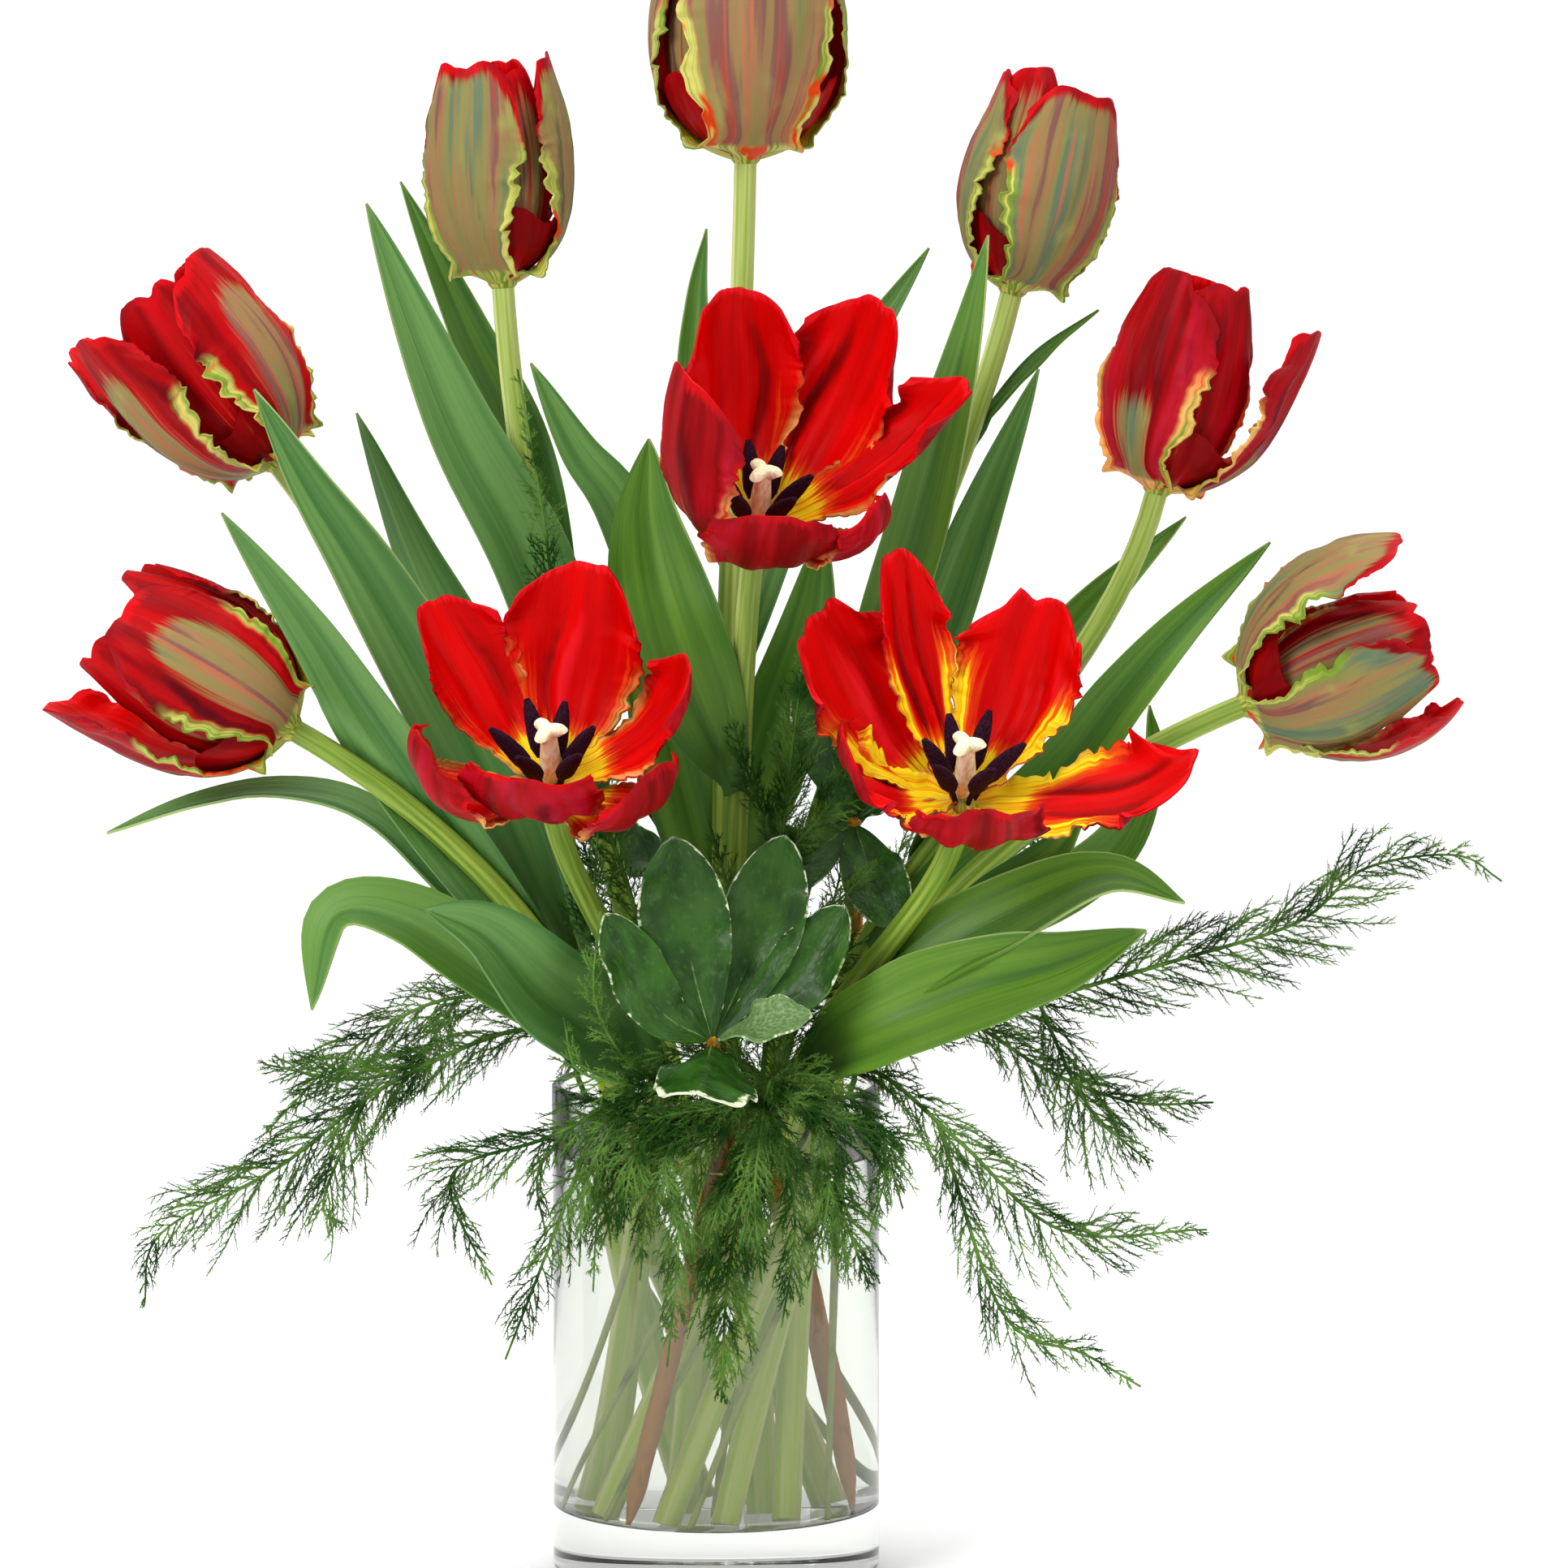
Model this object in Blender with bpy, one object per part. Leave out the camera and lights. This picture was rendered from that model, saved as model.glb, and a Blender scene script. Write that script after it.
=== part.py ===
"""Ten red parrot tulips with asparagus fern and cream-edged sprigs, standing in a clear glass cylinder vase.

Lengths are in millimetres and are turned to metres as each mesh is written. +Z is up, the origin is the
centre of the vase's underside, and the arrangement's front faces -Y. Each bloom is built about its own
base and axis and then placed on its stem.
"""

import math
import random

import bmesh
import bpy
import numpy as np
from mathutils import Matrix, Vector
from mathutils.bvhtree import BVHTree

MM = 0.001
SEAT_GAP = 0.3
WELD = 0.01

VASE_RADIUS = 50.0
VASE_HEIGHT = 150.0
VASE_WALL = 3.0
VASE_BASE = 20.0
VASE_SIDES = 32
RIM_ROUND = 1.2
FOOT_CHAMFER = 2.0
WATER_LEVEL = 128.0
FLOOR = VASE_BASE + SEAT_GAP

STEM_RADIUS = 3.7
STEM_SIDES = 7
BEND_RINGS = 7
TWIG_RADIUS = 2.8
TWIG_TIP_RADIUS = 1.8
TWIG_SIDES = 6
SPIRAL_TURN = math.radians(-100)
HOLE_CLEARANCE = 0.5
HOLE_OVERRUN = 5.0

LEAF_THICKNESS = 1.0
LEAF_TIP = 0.7
SPRIG_FOLD = 14
SPRIG_WAVE = 0.6
NARROW_LEAF = 7.0

PETAL_THICKNESS = 1.0
PETAL_SEAT = (3.4, 1.2)
PETAL_ROOT = 0.09
PETAL_RUFFLE = 0.9
PETAL_STEPS = 60
CUP_HALF_ANGLE = math.radians(60)
CUP_FLARE = 1.2
LAYER_GAP = 3.0
RECEPTACLE_HEIGHT = 5.0
RECEPTACLE_RADII = (STEM_RADIUS, 4.8, 4.2)
PISTIL_LENGTH = 20.0
PISTIL_RADII = (1.8, 2.8, 2.2)
STIGMA_RADII = (1.4, 1.6, 0.7)

FERN_RADIUS = 1.1
FORK_RADIUS = 0.7
FERN_TIP_RADIUS = 0.5
FERN_SIDES = 4
SPRAY_SIDES = 3
SHORT_SIDE = 1
KNOT_SPACING = 14.8
KNOT_LENGTH = 1.4
FINE_STEPS = 120
FERN_CLEARANCE = 0.6
NEEDLE_RADIUS = 0.55

SHARP_ANGLE = math.radians(40)

COLOURS = {
    "glass": ((0.86, 0.93, 0.92, 1), 0.03),
    "water": ((0.80, 0.90, 0.88, 1), 0.02),
    "petal": ((0.70, 0.01, 0.02, 1), 0.4),
    "pistil": ((0.80, 0.58, 0.24, 1), 0.5),
    "tulip_green": ((0.16, 0.36, 0.08, 1), 0.5),
    "fern_green": ((0.05, 0.16, 0.04, 1), 0.6),
    "sprig_green": ((0.05, 0.13, 0.03, 1), 0.3),
    "bark": ((0.20, 0.11, 0.04, 1), 0.8),
}

# Each tulip: neck is where its stem crosses the rim's height, base and axis are its bloom's.
TULIPS = {
    "top": {"neck": (4, 12), "base": (9, 20, 428), "axis": (0.02, 0.0, 1.0)},
    "upper_left": {"neck": (-14, 22), "base": (-65, 30, 390), "axis": (-0.06, 0.0, 1.0)},
    "upper_right": {"neck": (18, 22), "base": (90, 30, 388), "axis": (0.24, 0.0, 1.0)},
    "mid_left": {"neck": (-30, 6), "base": (-132, 8, 337), "axis": (-0.6, 0.0, 0.8)},
    "mid_right": {"neck": (30, 8), "base": (133, 0, 329), "axis": (0.24, 0.0, 0.97)},
    "low_left": {"neck": (-32, -10), "base": (-125, -30, 260), "axis": (-0.88, 0.0, 0.5)},
    "low_right": {"neck": (34, -8), "base": (158, -15, 266), "axis": (0.93, 0.0, 0.38)},
    "open_centre": {"neck": (2, -8), "base": (12, -28, 318), "axis": (0.1, -0.57, 0.82)},
    "open_left": {"neck": (-17, -26), "base": (-48, -60, 244), "axis": (-0.02, -0.57, 0.82)},
    "open_right": {"neck": (22, -26), "base": (73, -60, 240), "axis": (0.04, -0.57, 0.82)},
}

# Petals as (azimuth, length, half width, lean at root, middle and tip, in degrees from the bloom's axis).
# Azimuth 0 faces the front and 90 the bloom's right.
BLOOMS = {
    "top": [
        (8, 95, 27, 80, 3, -14), (128, 95, 27, 80, 3, -14), (248, 95, 27, 80, 3, -14),
        (68, 91, 25, 76, 2, -14), (188, 91, 25, 76, 2, -14), (308, 91, 25, 76, 2, -14),
    ],
    "upper_left": [
        (-28, 76, 20, 68, 3, -10), (92, 78, 20, 68, 4, -12), (212, 76, 20, 68, 3, -10),
        (32, 73, 18, 62, 2, -10), (152, 75, 18, 62, 2, -12), (272, 73, 18, 62, 2, -10),
    ],
    "upper_right": [
        (24, 74, 22, 78, 5, -6), (144, 74, 22, 78, 4, -12), (-92, 74, 20, 74, 3, -8),
        (84, 70, 20, 72, 3, -6), (204, 72, 20, 72, 2, -12), (-36, 76, 17, 68, 4, 0),
    ],
    "mid_left": [
        (55, 76, 23, 80, 8, -6), (175, 74, 22, 80, 6, -10), (-62, 76, 23, 80, 12, 2),
        (0, 74, 20, 74, 6, -4), (115, 74, 20, 74, 3, -10), (-122, 78, 20, 74, 22, 10),
    ],
    "mid_right": [
        (-38, 76, 22, 78, 4, -12), (82, 74, 21, 78, 22, 8), (202, 75, 22, 78, 4, -10),
        (24, 76, 20, 72, 2, -16), (142, 72, 20, 72, 3, -10), (262, 76, 20, 72, 2, -12),
    ],
    "low_left": [
        (20, 74, 22, 80, 8, -16), (132, 74, 22, 80, 10, -10), (-96, 80, 24, 80, 14, 2),
        (75, 78, 19, 74, 8, -20), (192, 72, 20, 74, 4, -10), (-42, 74, 20, 74, 4, -10),
    ],
    "low_right": [
        (36, 66, 20, 78, 6, -16), (156, 68, 20, 78, 6, -12), (-78, 78, 22, 80, 22, -24),
        (92, 78, 17, 74, 20, -34), (212, 68, 19, 74, 6, -12), (-22, 68, 18, 72, 4, -14),
    ],
    "open_centre": [
        (-54, 84, 21, 80, 14, -2), (146, 80, 20, 70, 34, 16), (10, 56, 21, 88, 44, -12),
        (-158, 76, 20, 68, 28, 14), (102, 82, 15, 70, 44, 32), (62, 62, 12, 84, 56, -30),
    ],
    "open_left": [
        (-68, 60, 20, 86, 52, -30), (165, 70, 22, 70, 36, 14), (48, 60, 19, 88, 56, -22),
        (-12, 54, 22, 88, 46, -8), (-138, 66, 16, 70, 48, 36), (98, 66, 16, 74, 48, -6),
    ],
    "open_right": [
        (-122, 72, 24, 74, 46, 24), (84, 72, 19, 82, 70, 36), (8, 54, 20, 88, 50, -4),
        (150, 68, 22, 70, 40, 18), (-72, 58, 20, 84, 52, -20), (-152, 78, 11, 68, 36, 28),
    ],
}

# A stamen's middle as (radius, height) in the bloom's frame, and its radii there: filament, then anther.
STAMEN_ROUTE = [(2.9, 4.0), (5.8, 12.0), (10.0, 20.0), (14.5, 27.0)]
STAMEN_RADII = (0.7, 1.0, 2.3, 0.8)

# Leaves on each tulip's stem: the height where one leaves the stem, the points that its middle then
# follows, half its width, the side that it faces and the degrees that its halves fold up.
LEAVES = {
    "top": [
        (300, [(-6, 32, 350), (-6, 33, 385), (-3, 32, 408)], 6, (0, -1, 0.2), 20),
        (262, [(20, 34, 320), (42, 36, 366), (65, 37, 402)], 8, (0, -1, 0.2), 20),
        (245, [(-26, 12, 318), (-42, 11, 342), (-56, 12, 368)], 10, (0.2, -1, 0.2), 15),
        (200, [(16, 24, 246), (27, 26, 282), (33, 28, 318)], 13, (0, -1, 0.2), 18),
        (190, [(-8, 24, 232), (-18, 28, 268), (-24, 30, 304)], 13, (0, -1, 0.2), 18),
    ],
    "upper_left": [
        (222, [(-54, 24, 300), (-80, 22, 352), (-106, 20, 416)], 13, (0.2, -1, 0.1), 18),
        (255, [(-58, 42, 335), (-77, 46, 378), (-97, 47, 422)], 9, (0.2, -1, 0.1), 15),
    ],
    "upper_right": [
        (232, [(56, 12, 300), (68, 5, 345), (76, 1, 378), (82, -1, 407)], 10, (-0.2, -1, 0.1), 15),
        (204, [(60, 20, 270), (80, 15, 322), (98, 14, 366)], 10, (0.2, -1, 0.1), 18),
        (342, [(99, 34, 368), (117, 37, 383)], 3.6, (-0.3, -0.5, 1), 22),
    ],
    "mid_left": [
        (185, [(-80, -12, 262), (-104, -19, 306), (-121, -23, 333), (-137, -28, 362)], 13, (0, -1, 0.3), 20),
        (175, [(-62, 46, 240), (-92, 62, 300), (-112, 66, 350)], 12, (0.3, 1, 0.2), 20),
    ],
    "mid_right": [
        (205, [(92, 16, 262), (114, 17, 292), (143, 17, 321)], 9, (-0.2, -1, 0.3), 18),
        (190, [(100, 0, 240), (122, -4, 268), (141, -7, 290), (167, -8, 315)], 10, (0.2, -1, 0.3), 18),
    ],
    "low_left": [
        (172, [(-86, -28, 236), (-106, -32, 266), (-122, -36, 292), (-146, -40, 326)], 11, (0, -1, 0.3), 18),
        (165, [(-82, -16, 212), (-106, -18, 234), (-131, -18, 240), (-156, -18, 237), (-183, -18, 228)],
         9, (0.2, -0.5, 1), 20),
    ],
    "low_right": [
        (185, [(114, 8, 214), (132, 9, 244), (132, 11, 264)], 9, (0.2, -1, 0.2), 15),
        (162, [(70, -27, 188), (92, -32, 212), (110, -33, 234)], 15, (-0.3, -1, 0.5), 18),
    ],
    "open_centre": [
        (240, [(-12, -10, 286), (-20, -6, 318), (-20, -4, 346)], 17, (-0.1, -1, 0.2), 20),
    ],
    "open_left": [
        (158, [(-60, -34, 184), (-92, -40, 205), (-114, -43, 206), (-120, -45, 178)],
         13, (-0.1, -0.8, 0.7), 16),
        (158, [(-48, -58, 182), (-67, -65, 203), (-85, -67, 211)], 18, (0.3, -1, 0.5), 24),
    ],
    "open_right": [
        (160, [(58, -40, 188), (92, -44, 208), (118, -44, 218), (140, -44, 210)], 14, (-0.1, -0.8, 0.8), 18),
        (156, [(46, -50, 172), (74, -54, 184), (102, -54, 192), (128, -52, 203)], 17, (0.1, -0.9, 0.6), 22),
    ],
}

# Woody twigs: foot and neck of the straight run through the water, then the points up to the leaf whorl.
# Leaves are (points from the whorl outwards, half width, facing side), and the fold where it is its own.
SPRIGS = {
    "front": {
        "foot": (-25, -35), "neck": (6, -41), "rise": [(2, -50, 161), (0, -56, 168)],
        "leaves": [
            ([(-7, -60, 196), (-12, -62, 232)], 14, (0, -1, 0.2)),
            ([(12, -52, 198), (21, -50, 231)], 13, (0, -1, 0.2)),
            ([(-17, -66, 182), (-32, -70, 210)], 10, (0.3, -1, 0.4)),
            ([(22, -56, 186), (39, -52, 210)], 11, (-0.2, -1, 0.4)),
            ([(12, -68, 176), (29, -72, 180)], 9, (0, -0.6, 1)),
            ([(-2, -68, 166), (-5, -79, 158)], 18, (0, -0.5, 1), -30),
        ],
    },
    "right": {
        "foot": (42, 6), "neck": (36, 22), "rise": [(42, 28, 180), (42, 22, 204), (42, 12, 226)],
        "leaves": [
            ([(34, 2, 252), (28, -2, 278)], 10, (0, -1, 0.3)),
            ([(46, 2, 256), (50, -2, 284)], 11, (0, -1, 0.3)),
            ([(60, 4, 240), (74, 0, 244)], 9, (0, -0.6, 1)),
            ([(28, 2, 218), (15, 0, 206)], 9, (0, -1, 0.6)),
            ([(48, -6, 212), (56, -14, 198)], 10, (0, -1, 0.6)),
        ],
    },
    "back": {
        "foot": None, "neck": (2, 36), "rise": [(-2, 54, 182), (-4, 62, 204)],
        "leaves": [
            ([(-12, 66, 226), (-20, 68, 250)], 11, (0, 1, 0.3)),
            ([(6, 66, 228), (12, 68, 252)], 11, (0, 1, 0.3)),
            ([(-22, 68, 210), (-42, 72, 218)], 10, (0, 1, 0.6)),
            ([(14, 68, 210), (34, 72, 216)], 10, (0, 1, 0.6)),
            ([(-6, 76, 196), (-8, 88, 184)], 10, (0, 1, 0.6)),
        ],
    },
}

# Fern sprays: where the wiry stem crosses the rim's height, the route of its main spray, and side sprays
# as (fraction of the main route where it forks, points). Reach is the length of the longest branchlets.
FERNS = {
    "fern_left_long": {
        "neck": (-42, 4), "reach": 24,
        "route": [(-60, -2, 166), (-100, -10, 150), (-132, -14, 126), (-168, -18, 106), (-173, -20, 84)],
        "forks": [(0.3, [(-110, 4, 150), (-138, 8, 154)]), (0.45, [(-118, -24, 118), (-114, -30, 110)])],
    },
    "fern_left_low": {
        "neck": (-12, -40), "reach": 18,
        "route": [(-24, -54, 153), (-50, -62, 142), (-78, -60, 130), (-66, -62, 98)],
        "forks": [(0.3, [(-48, -62, 112), (-62, -64, 76)])],
    },
    "fern_left_back": {
        "neck": (-30, 24), "reach": 20,
        "route": [(-48, 32, 168), (-84, 38, 170), (-116, 40, 152), (-140, 42, 128)],
        "forks": [(0.45, [(-92, 60, 150), (-104, 74, 132)])],
    },
    "fern_front_hanging": {
        "neck": (16, -40), "reach": 20,
        "route": [(16, -54, 156), (10, -60, 132), (4, -60, 100), (2, -58, 62)],
        "forks": [(0.2, [(-20, -60, 140), (-34, -58, 108)]), (0.3, [(34, -62, 126), (46, -60, 98)])],
    },
    "fern_right_low": {
        "neck": (34, -26), "reach": 20,
        "route": [(50, -42, 158), (74, -48, 138), (104, -48, 112), (147, -46, 112)],
        "forks": [(0.35, [(86, -54, 88), (110, -54, 76), (127, -54, 66)])],
    },
    "fern_right_long": {
        "neck": (42, 0), "reach": 24,
        "route": [(58, -4, 164), (98, -8, 176), (138, -10, 188), (176, -10, 200), (196, -8, 216),
                  (224, -6, 220), (238, -6, 212)],
        "forks": [(0.2, [(102, 6, 152), (128, 10, 142), (152, 10, 142)]),
                  (0.3, [(112, -18, 146), (131, -20, 128)])],
    },
    "fern_upright_left": {
        "neck": (-16, 4), "reach": 12,
        "route": [(-24, 2, 200), (-44, 4, 262), (-52, 8, 320), (-60, 12, 366)],
        "forks": [],
    },
    "fern_upright_centre": {
        "neck": (14, 2), "reach": 16,
        "route": [(18, -8, 200), (22, -16, 244), (28, -18, 290)],
        "forks": [(0.5, [(36, -24, 240), (44, -28, 262)])],
    },
    "fern_back_left": {
        "neck": (-18, 38), "reach": 22,
        "route": [(-32, 56, 172), (-54, 74, 196), (-78, 88, 204), (-98, 98, 186)],
        "forks": [(0.4, [(-40, 84, 166), (-44, 98, 130)])],
    },
    "fern_back_right": {
        "neck": (22, 36), "reach": 22,
        "route": [(36, 58, 176), (62, 72, 206), (92, 82, 218), (118, 88, 206)],
        "forks": [(0.35, [(48, 84, 166), (56, 98, 128)])],
    },
}


def clear_scene():
    """Remove whatever the file holds."""
    for thing in list(bpy.data.objects):
        bpy.data.objects.remove(thing, do_unlink=True)


def finish(name):
    """A material with the named colour and roughness."""
    material = bpy.data.materials.get(name)
    if material is None:
        colour, roughness = COLOURS[name]
        material = bpy.data.materials.new(name)
        material.use_nodes = True
        shader = material.node_tree.nodes["Principled BSDF"]
        shader.inputs["Base Color"].default_value = colour
        shader.inputs["Roughness"].default_value = roughness
        shader.inputs["Metallic"].default_value = 0.0
    return material


def solid(name, points, faces, material):
    """An object of these points and faces, in metres, with its faces pointing out."""
    mesh = bpy.data.meshes.new(name)
    mesh.from_pydata([tuple(float(c) * MM for c in p) for p in points], [], faces)
    bm = bmesh.new()
    bm.from_mesh(mesh)
    if bm.calc_volume(signed=True) < 0:
        bmesh.ops.reverse_faces(bm, faces=bm.faces)
    bm.to_mesh(mesh)
    bm.free()
    mesh.materials.append(finish(material))
    thing = bpy.data.objects.new(name, mesh)
    bpy.context.collection.objects.link(thing)
    return thing


def shade_round(mesh):
    """Shade a mesh smooth, except over its sharp edges."""
    mesh.shade_smooth()
    mesh.set_sharp_from_angle(angle=SHARP_ANGLE)


def smooth_path(points, count):
    """Evenly spaced points on a smooth curve through the given points."""
    points = np.array(points, float)
    ends = np.vstack([2 * points[0] - points[1], points, 2 * points[-1] - points[-2]])
    fine = []
    for i in range(1, len(ends) - 2):
        a, b, c, d = ends[i - 1:i + 3]
        for t in np.linspace(0, 1, 12, endpoint=False):
            fine.append(0.5 * (2 * b + (c - a) * t + (2 * a - 5 * b + 4 * c - d) * t ** 2
                               + (3 * b - a - 3 * c + d) * t ** 3))
    fine = np.array(fine + [points[-1]])
    run = np.concatenate([[0], np.cumsum(np.linalg.norm(np.diff(fine, axis=0), axis=1))])
    at = np.linspace(0, run[-1], count)
    return np.column_stack([np.interp(at, run, fine[:, k]) for k in range(3)])


def unit(vector):
    """The vector at length 1."""
    vector = np.array(vector, float)
    return vector / np.linalg.norm(vector)


def tube(path, radii, sides, start=None, end=None, across=(1.0, 0.03, 0.0)):
    """Points and faces of a closed tube along a path; start and end can set the directions of its end cuts.

    Across is where the first ring's first corner points.
    """
    path = np.array(path, float)
    tangents = np.gradient(path, axis=0)
    across = np.array(across)
    points = []
    for i, (centre, tangent, radius) in enumerate(zip(path, tangents, radii)):
        tangent = unit(tangent)
        if i == 0 and start is not None:
            tangent = unit(start)
        if i == len(path) - 1 and end is not None:
            tangent = unit(end)
        across = unit(across - across.dot(tangent) * tangent)
        other = np.cross(tangent, across)
        for k in range(sides):
            turn = 2 * math.pi * k / sides
            points.append(centre + radius * (math.cos(turn) * across + math.sin(turn) * other))
    faces = []
    for i in range(len(path) - 1):
        for k in range(sides):
            a, b = i * sides + k, i * sides + (k + 1) % sides
            faces += [(a, b, b + sides), (a, b + sides, a + sides)]
    last = (len(path) - 1) * sides
    faces += [(0, k + 1, k) for k in range(1, sides - 1)]
    faces += [(last, last + k, last + k + 1) for k in range(1, sides - 1)]
    return points, faces


def blade(grid, thickness):
    """A thin closed solid round a grid of points, cut into the same triangles on both faces."""
    grid = np.array(grid, float)
    rows, columns = grid.shape[:2]
    normals = np.cross(np.gradient(grid, axis=0), np.gradient(grid, axis=1))
    normals /= np.linalg.norm(normals, axis=2, keepdims=True)
    half = normals * thickness / 2
    points = [*(grid + half).reshape(-1, 3), *(grid - half).reshape(-1, 3)]
    under = rows * columns
    faces = []
    for i in range(rows - 1):
        for j in range(columns - 1):
            a, b = i * columns + j, i * columns + j + 1
            c, d = b + columns, a + columns
            for one, two, three in ((a, b, c), (a, c, d)):
                faces += [(one, three, two), (under + one, under + two, under + three)]
    edge = [i * columns for i in range(rows)] + [(rows - 1) * columns + j for j in range(1, columns)]
    edge += [i * columns + columns - 1 for i in range(rows - 2, -1, -1)] + list(range(columns - 2, 0, -1))
    for a, b in zip(edge, edge[1:] + edge[:1]):
        faces += [(b, a, under + b), (a, under + a, under + b)]
    return points, faces


def fuse(name, shapes, material, place=None):
    """One object of all the shapes, joined by a Boolean union; sealed hollows and loose scraps go.

    Place is the matrix that the finished object is set down with.
    """
    objects = [solid(f"{name}_{i}", points, faces, material) for i, (points, faces) in enumerate(shapes)]
    whole = objects[0]
    whole.name = name
    whole.data.name = name
    if len(objects) > 1:
        others = bpy.data.collections.new(f"{name}_pieces")
        for thing in objects[1:]:
            others.objects.link(thing)
        union = whole.modifiers.new("union", "BOOLEAN")
        union.operation = "UNION"
        union.operand_type = "COLLECTION"
        union.collection = others
        union.solver = "EXACT"
        graph = bpy.context.evaluated_depsgraph_get()
        joined = bpy.data.meshes.new_from_object(whole.evaluated_get(graph))
        whole.modifiers.clear()
        whole.data = joined
        for thing in objects[1:]:
            bpy.data.objects.remove(thing, do_unlink=True)
        bpy.data.collections.remove(others)
    keep_largest_shell(whole.data)
    shade_round(whole.data)
    whole.data.name = name
    if place is not None:
        whole.matrix_world = place
    return whole


def keep_largest_shell(mesh):
    """Delete every closed shell of a mesh but the largest."""
    bm = bmesh.new()
    bm.from_mesh(mesh)
    bmesh.ops.remove_doubles(bm, verts=bm.verts, dist=WELD * MM)
    bmesh.ops.triangulate(bm, faces=bm.faces)
    unseen = set(bm.faces)
    shells = []
    while unseen:
        shell, edge = [], [unseen.pop()]
        while edge:
            face = edge.pop()
            shell.append(face)
            for near in (f for e in face.edges for f in e.link_faces):
                if near in unseen:
                    unseen.remove(near)
                    edge.append(near)
        shells.append(shell)
    volumes = []
    for shell in shells:
        corners = ([v.co for v in f.verts] for f in shell)
        volumes.append(sum(a.dot(b.cross(c)) for a, b, c in corners))
    largest = volumes.index(max(volumes))
    spare = [f for i, shell in enumerate(shells) if i != largest for f in shell]
    bmesh.ops.delete(bm, geom=spare, context="FACES")
    bm.to_mesh(mesh)
    bm.free()


def spiral_foot(neck):
    """Where a stem that crosses the neck stands on the vase's floor: all stems turn the same way round."""
    cos, sin = math.cos(SPIRAL_TURN), math.sin(SPIRAL_TURN)
    return neck[0] * cos - neck[1] * sin, neck[0] * sin + neck[1] * cos


def runs_in_water():
    """Every stem's straight run in the vase: name, foot, neck and radius."""
    runs = [(f"tulip_{name}", spiral_foot(t["neck"]), t["neck"], STEM_RADIUS) for name, t in TULIPS.items()]
    for name, sprig in SPRIGS.items():
        foot = sprig["foot"] or spiral_foot(sprig["neck"])
        runs.append((f"sprig_{name}", foot, sprig["neck"], TWIG_RADIUS))
    runs += [(name, spiral_foot(fern["neck"]), fern["neck"], FERN_RADIUS) for name, fern in FERNS.items()]
    return runs


def bloom_place(tulip):
    """Matrix that sets a bloom down on its base: its -Y faces the front and its +Z is the bloom's axis."""
    axis = unit(tulip["axis"])
    front = np.array((0.0, -1.0, 0.0))
    front = unit(front - front.dot(axis) * axis)
    right = np.cross(axis, front)
    turn = Matrix(np.column_stack([right, -front, axis]).tolist())
    return Matrix.Translation(Vector(tulip["base"]) * MM) @ turn.to_4x4()


def stem_path(neck, foot, end, axis):
    """A stem's middle: straight from the foot through the neck, then one smooth bend into the bloom."""
    low = np.array((*foot, FLOOR))
    high = np.array((*neck, VASE_HEIGHT))
    end = np.array(end, float)
    reach = np.linalg.norm(end - high)
    leave, arrive = unit(high - low) * reach, unit(axis) * reach
    points = [low]
    for t in np.linspace(0, 1, BEND_RINGS):
        points.append((2 * t ** 3 - 3 * t ** 2 + 1) * high + (t ** 3 - 2 * t ** 2 + t) * leave
                      + (3 * t ** 2 - 2 * t ** 3) * end + (t ** 3 - t ** 2) * arrive)
    return np.array(points)


def point_at_height(path, height):
    """Where a rising path crosses a height."""
    return np.array([np.interp(height, path[:, 2], path[:, k]) for k in range(3)])


def point_at(path, place):
    """The point of a path at a place counted in its own steps."""
    return np.array([np.interp(place, range(len(path)), path[:, k]) for k in range(3)])


def leaf(points, half_width, facing, fold, rows, root=0.25, wave=0.0):
    """A long leaf along a smooth middle line, folded up along its midrib."""
    middle = smooth_path(points, rows + 1)
    tangents = np.gradient(middle, axis=0)
    fold = math.radians(fold)
    grid = []
    for i, (centre, tangent) in enumerate(zip(middle, tangents)):
        along = i / rows
        width = half_width * max(root * (1 - along), math.sin(math.pi * min(along, 1) ** 0.85) ** 0.8)
        width = max(width, LEAF_TIP)
        tangent = unit(tangent)
        up = unit(np.array(facing) - np.dot(facing, tangent) * tangent)
        side = np.cross(tangent, up)
        ripple = wave * (-1) ** i
        across = side * width * math.cos(fold)
        lift = up * width * math.sin(fold)
        grid.append([centre + across * v + lift * abs(v) + up * v * ripple for v in (-1, 0, 1)])
    return blade(grid, LEAF_THICKNESS)


def outward(degrees):
    """The level direction of an azimuth in a bloom's frame, 0 to the front and 90 to its right."""
    turn = math.radians(degrees)
    return np.array((math.sin(turn), -math.cos(turn), 0.0))


def upward(height):
    """The point of a bloom's axis at a height."""
    return np.array((0.0, 0.0, height))


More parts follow.
